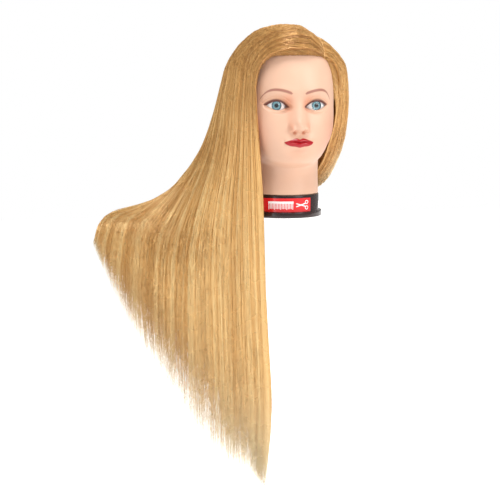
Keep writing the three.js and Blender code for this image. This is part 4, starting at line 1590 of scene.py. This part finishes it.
def root_on_hairline(turns):
    return np.stack([np.interp(turns, ROOT_TABLE, ROOT_PLACES[:, axis]) for axis in range(3)], axis=-1)


print("hairline from", ROOT_PLACES[0].round(), "to", ROOT_PLACES[-1].round())

# %% [markdown]
# ## Hair: laying each section
# The sections are the CAD model's nodes. Each gets a bed and strands at several depths: most near the
# surface, and some below the bed, so that the inside of the fall looks like hair as well.

# %% The fall's sections
FALL_SEED, LEFT_SEED = 11, 23
SECTIONS = [
    ("front_hair", "hair_front_section", (0.0, 0.2), (0, 1), 0.0, 1100),
    ("top_hair", "hair_top_section", (0.2, 0.45), (0, 1), 0.0, 1900),
    ("crown_hair", "hair_crown_section", (0.45, 0.7), (0, 1), 0.0, 1900),
    ("back_hair", "hair_back_section", (0.7, 1.0), (0, 1), 0.0, 1900),
    ("right_under_hair", "hair_under_right", (0.1, 0.4), (0.5, 0.9), 9.0, 500),
    ("nape_hair", "hair_nape_section", (0.7, 0.9), (0.45, 0.7), 9.0, 400),
]


def section_courses(guides, outwards, seed, across_range, along_range, drop, count):
    low, high = across_range
    begin, end = along_range
    across = RANDOM.uniform(low, high, count)
    depth = drop + np.abs(RANDOM.normal(0, 2.2, count)) * (1 if drop == 0 else 0.8)
    start = np.full(count, float(begin))
    if begin == 0:
        late = RANDOM.random(count) < 0.3
        start = np.where(late, RANDOM.uniform(0.02, 0.3, count), 0)
        surface = sheet_point(guides, across, start)
        _, out = sheet_frame(guides, across, start, outwards)
        roots = np.where(late[:, None], surface - out * 8.5, parting_roots(across))
    else:
        surface = sheet_point(guides, across, start)
        _, out = sheet_frame(guides, across, start, outwards)
        roots = surface - out * (depth + 1)[:, None]
    stop = end - 0.13 * RANDOM.random(count) ** 1.4 * (end - begin)
    join = RANDOM.uniform(0.05, 0.11, count)
    return courses(guides, outwards, seed, across, start, stop, roots, join, depth, across)


def lay_section(title, node, guides, outwards, seed, across_range, along_range, drop, count):
    bed = sheet_bed(f"{title}_bed", guides, outwards, seed, across_range, along_range, drop + BED["drop"])
    finish_piece(f"{title}_bed", bed, fibre, [node], math.radians(80))
    laid = section_courses(guides, outwards, seed, across_range, along_range, drop, count)
    strands = strand_mesh(f"{title}_strands", *laid)
    finish_piece(f"{title}_strands", strands, fibre, [node], math.pi)


for title, node, across_range, along_range, drop, count in SECTIONS:
    lay_section(title, node, FALL_GUIDES, 1, FALL_SEED, across_range, along_range, drop, count)
lay_section("left_hair", "hair_left_section", LEFT_GUIDES, -1, LEFT_SEED, (0, 1), (0, 1), 0.0, 2000)

# %% [markdown]
# ## Hair: the hairline
# Along the forehead the strands start on the skin itself, are combed up and back, and swing over to the
# side in overlapping arcs. They cover the rim of the sheets, as they do on the real head.

# %% Strands from the hairline
HAIRLINE_ROOTS = {
    "fall": {"turns": (-44, 46), "count": 2000, "reach": 0.34, "seed": FALL_SEED},
    "left": {"turns": (67, 42), "count": 1100, "reach": 0.30, "seed": LEFT_SEED},
}


def start_beside(guides, roots):
    """The share along a sheet's front edge that lies nearest each root."""
    shares = np.linspace(0, 0.42, 60)
    edge = sheet_point(guides, np.zeros(60), shares)
    return shares[np.linalg.norm(roots[:, None] - edge[None], axis=-1).argmin(axis=1)]


def hairline_courses(guides, outwards, turns, count, reach, seed):
    last, first = np.radians(turns)
    share = RANDOM.random(count) ** 0.8
    turn = last + (first - last) * share
    roots = root_on_hairline(turn) + RANDOM.normal(0, 0.8, (count, 3)) * [1, 0.4, 1]
    start = start_beside(guides, roots)
    across = reach * share * RANDOM.uniform(0.15, 1.0, count)
    depth = RANDOM.uniform(-0.4, 3.0, count)
    stop = 1 - 0.12 * RANDOM.random(count) ** 2
    join = (0.10 + 0.5 * across + RANDOM.uniform(0, 0.04, count)) / (stop - start)
    return courses(guides, outwards, seed, across, start, stop, roots, join, depth, np.zeros(count))


for side_name, guides, outwards, node in (
    ("fall", FALL_GUIDES, 1, "hair_front_section"),
    ("left", LEFT_GUIDES, -1, "hair_left_section"),
):
    strands = strand_mesh(
        f"{side_name}_hairline_strands", *hairline_courses(guides, outwards, **HAIRLINE_ROOTS[side_name])
    )
    finish_piece(f"{side_name}_hairline_strands", strands, fibre, [node], math.pi)

# %% [markdown]
# ## Finish
# The last line prints how many triangles the pieces have.

print("triangles:", sum(len(p.vertices) - 2 for piece in made_pieces for p in piece.data.polygons))
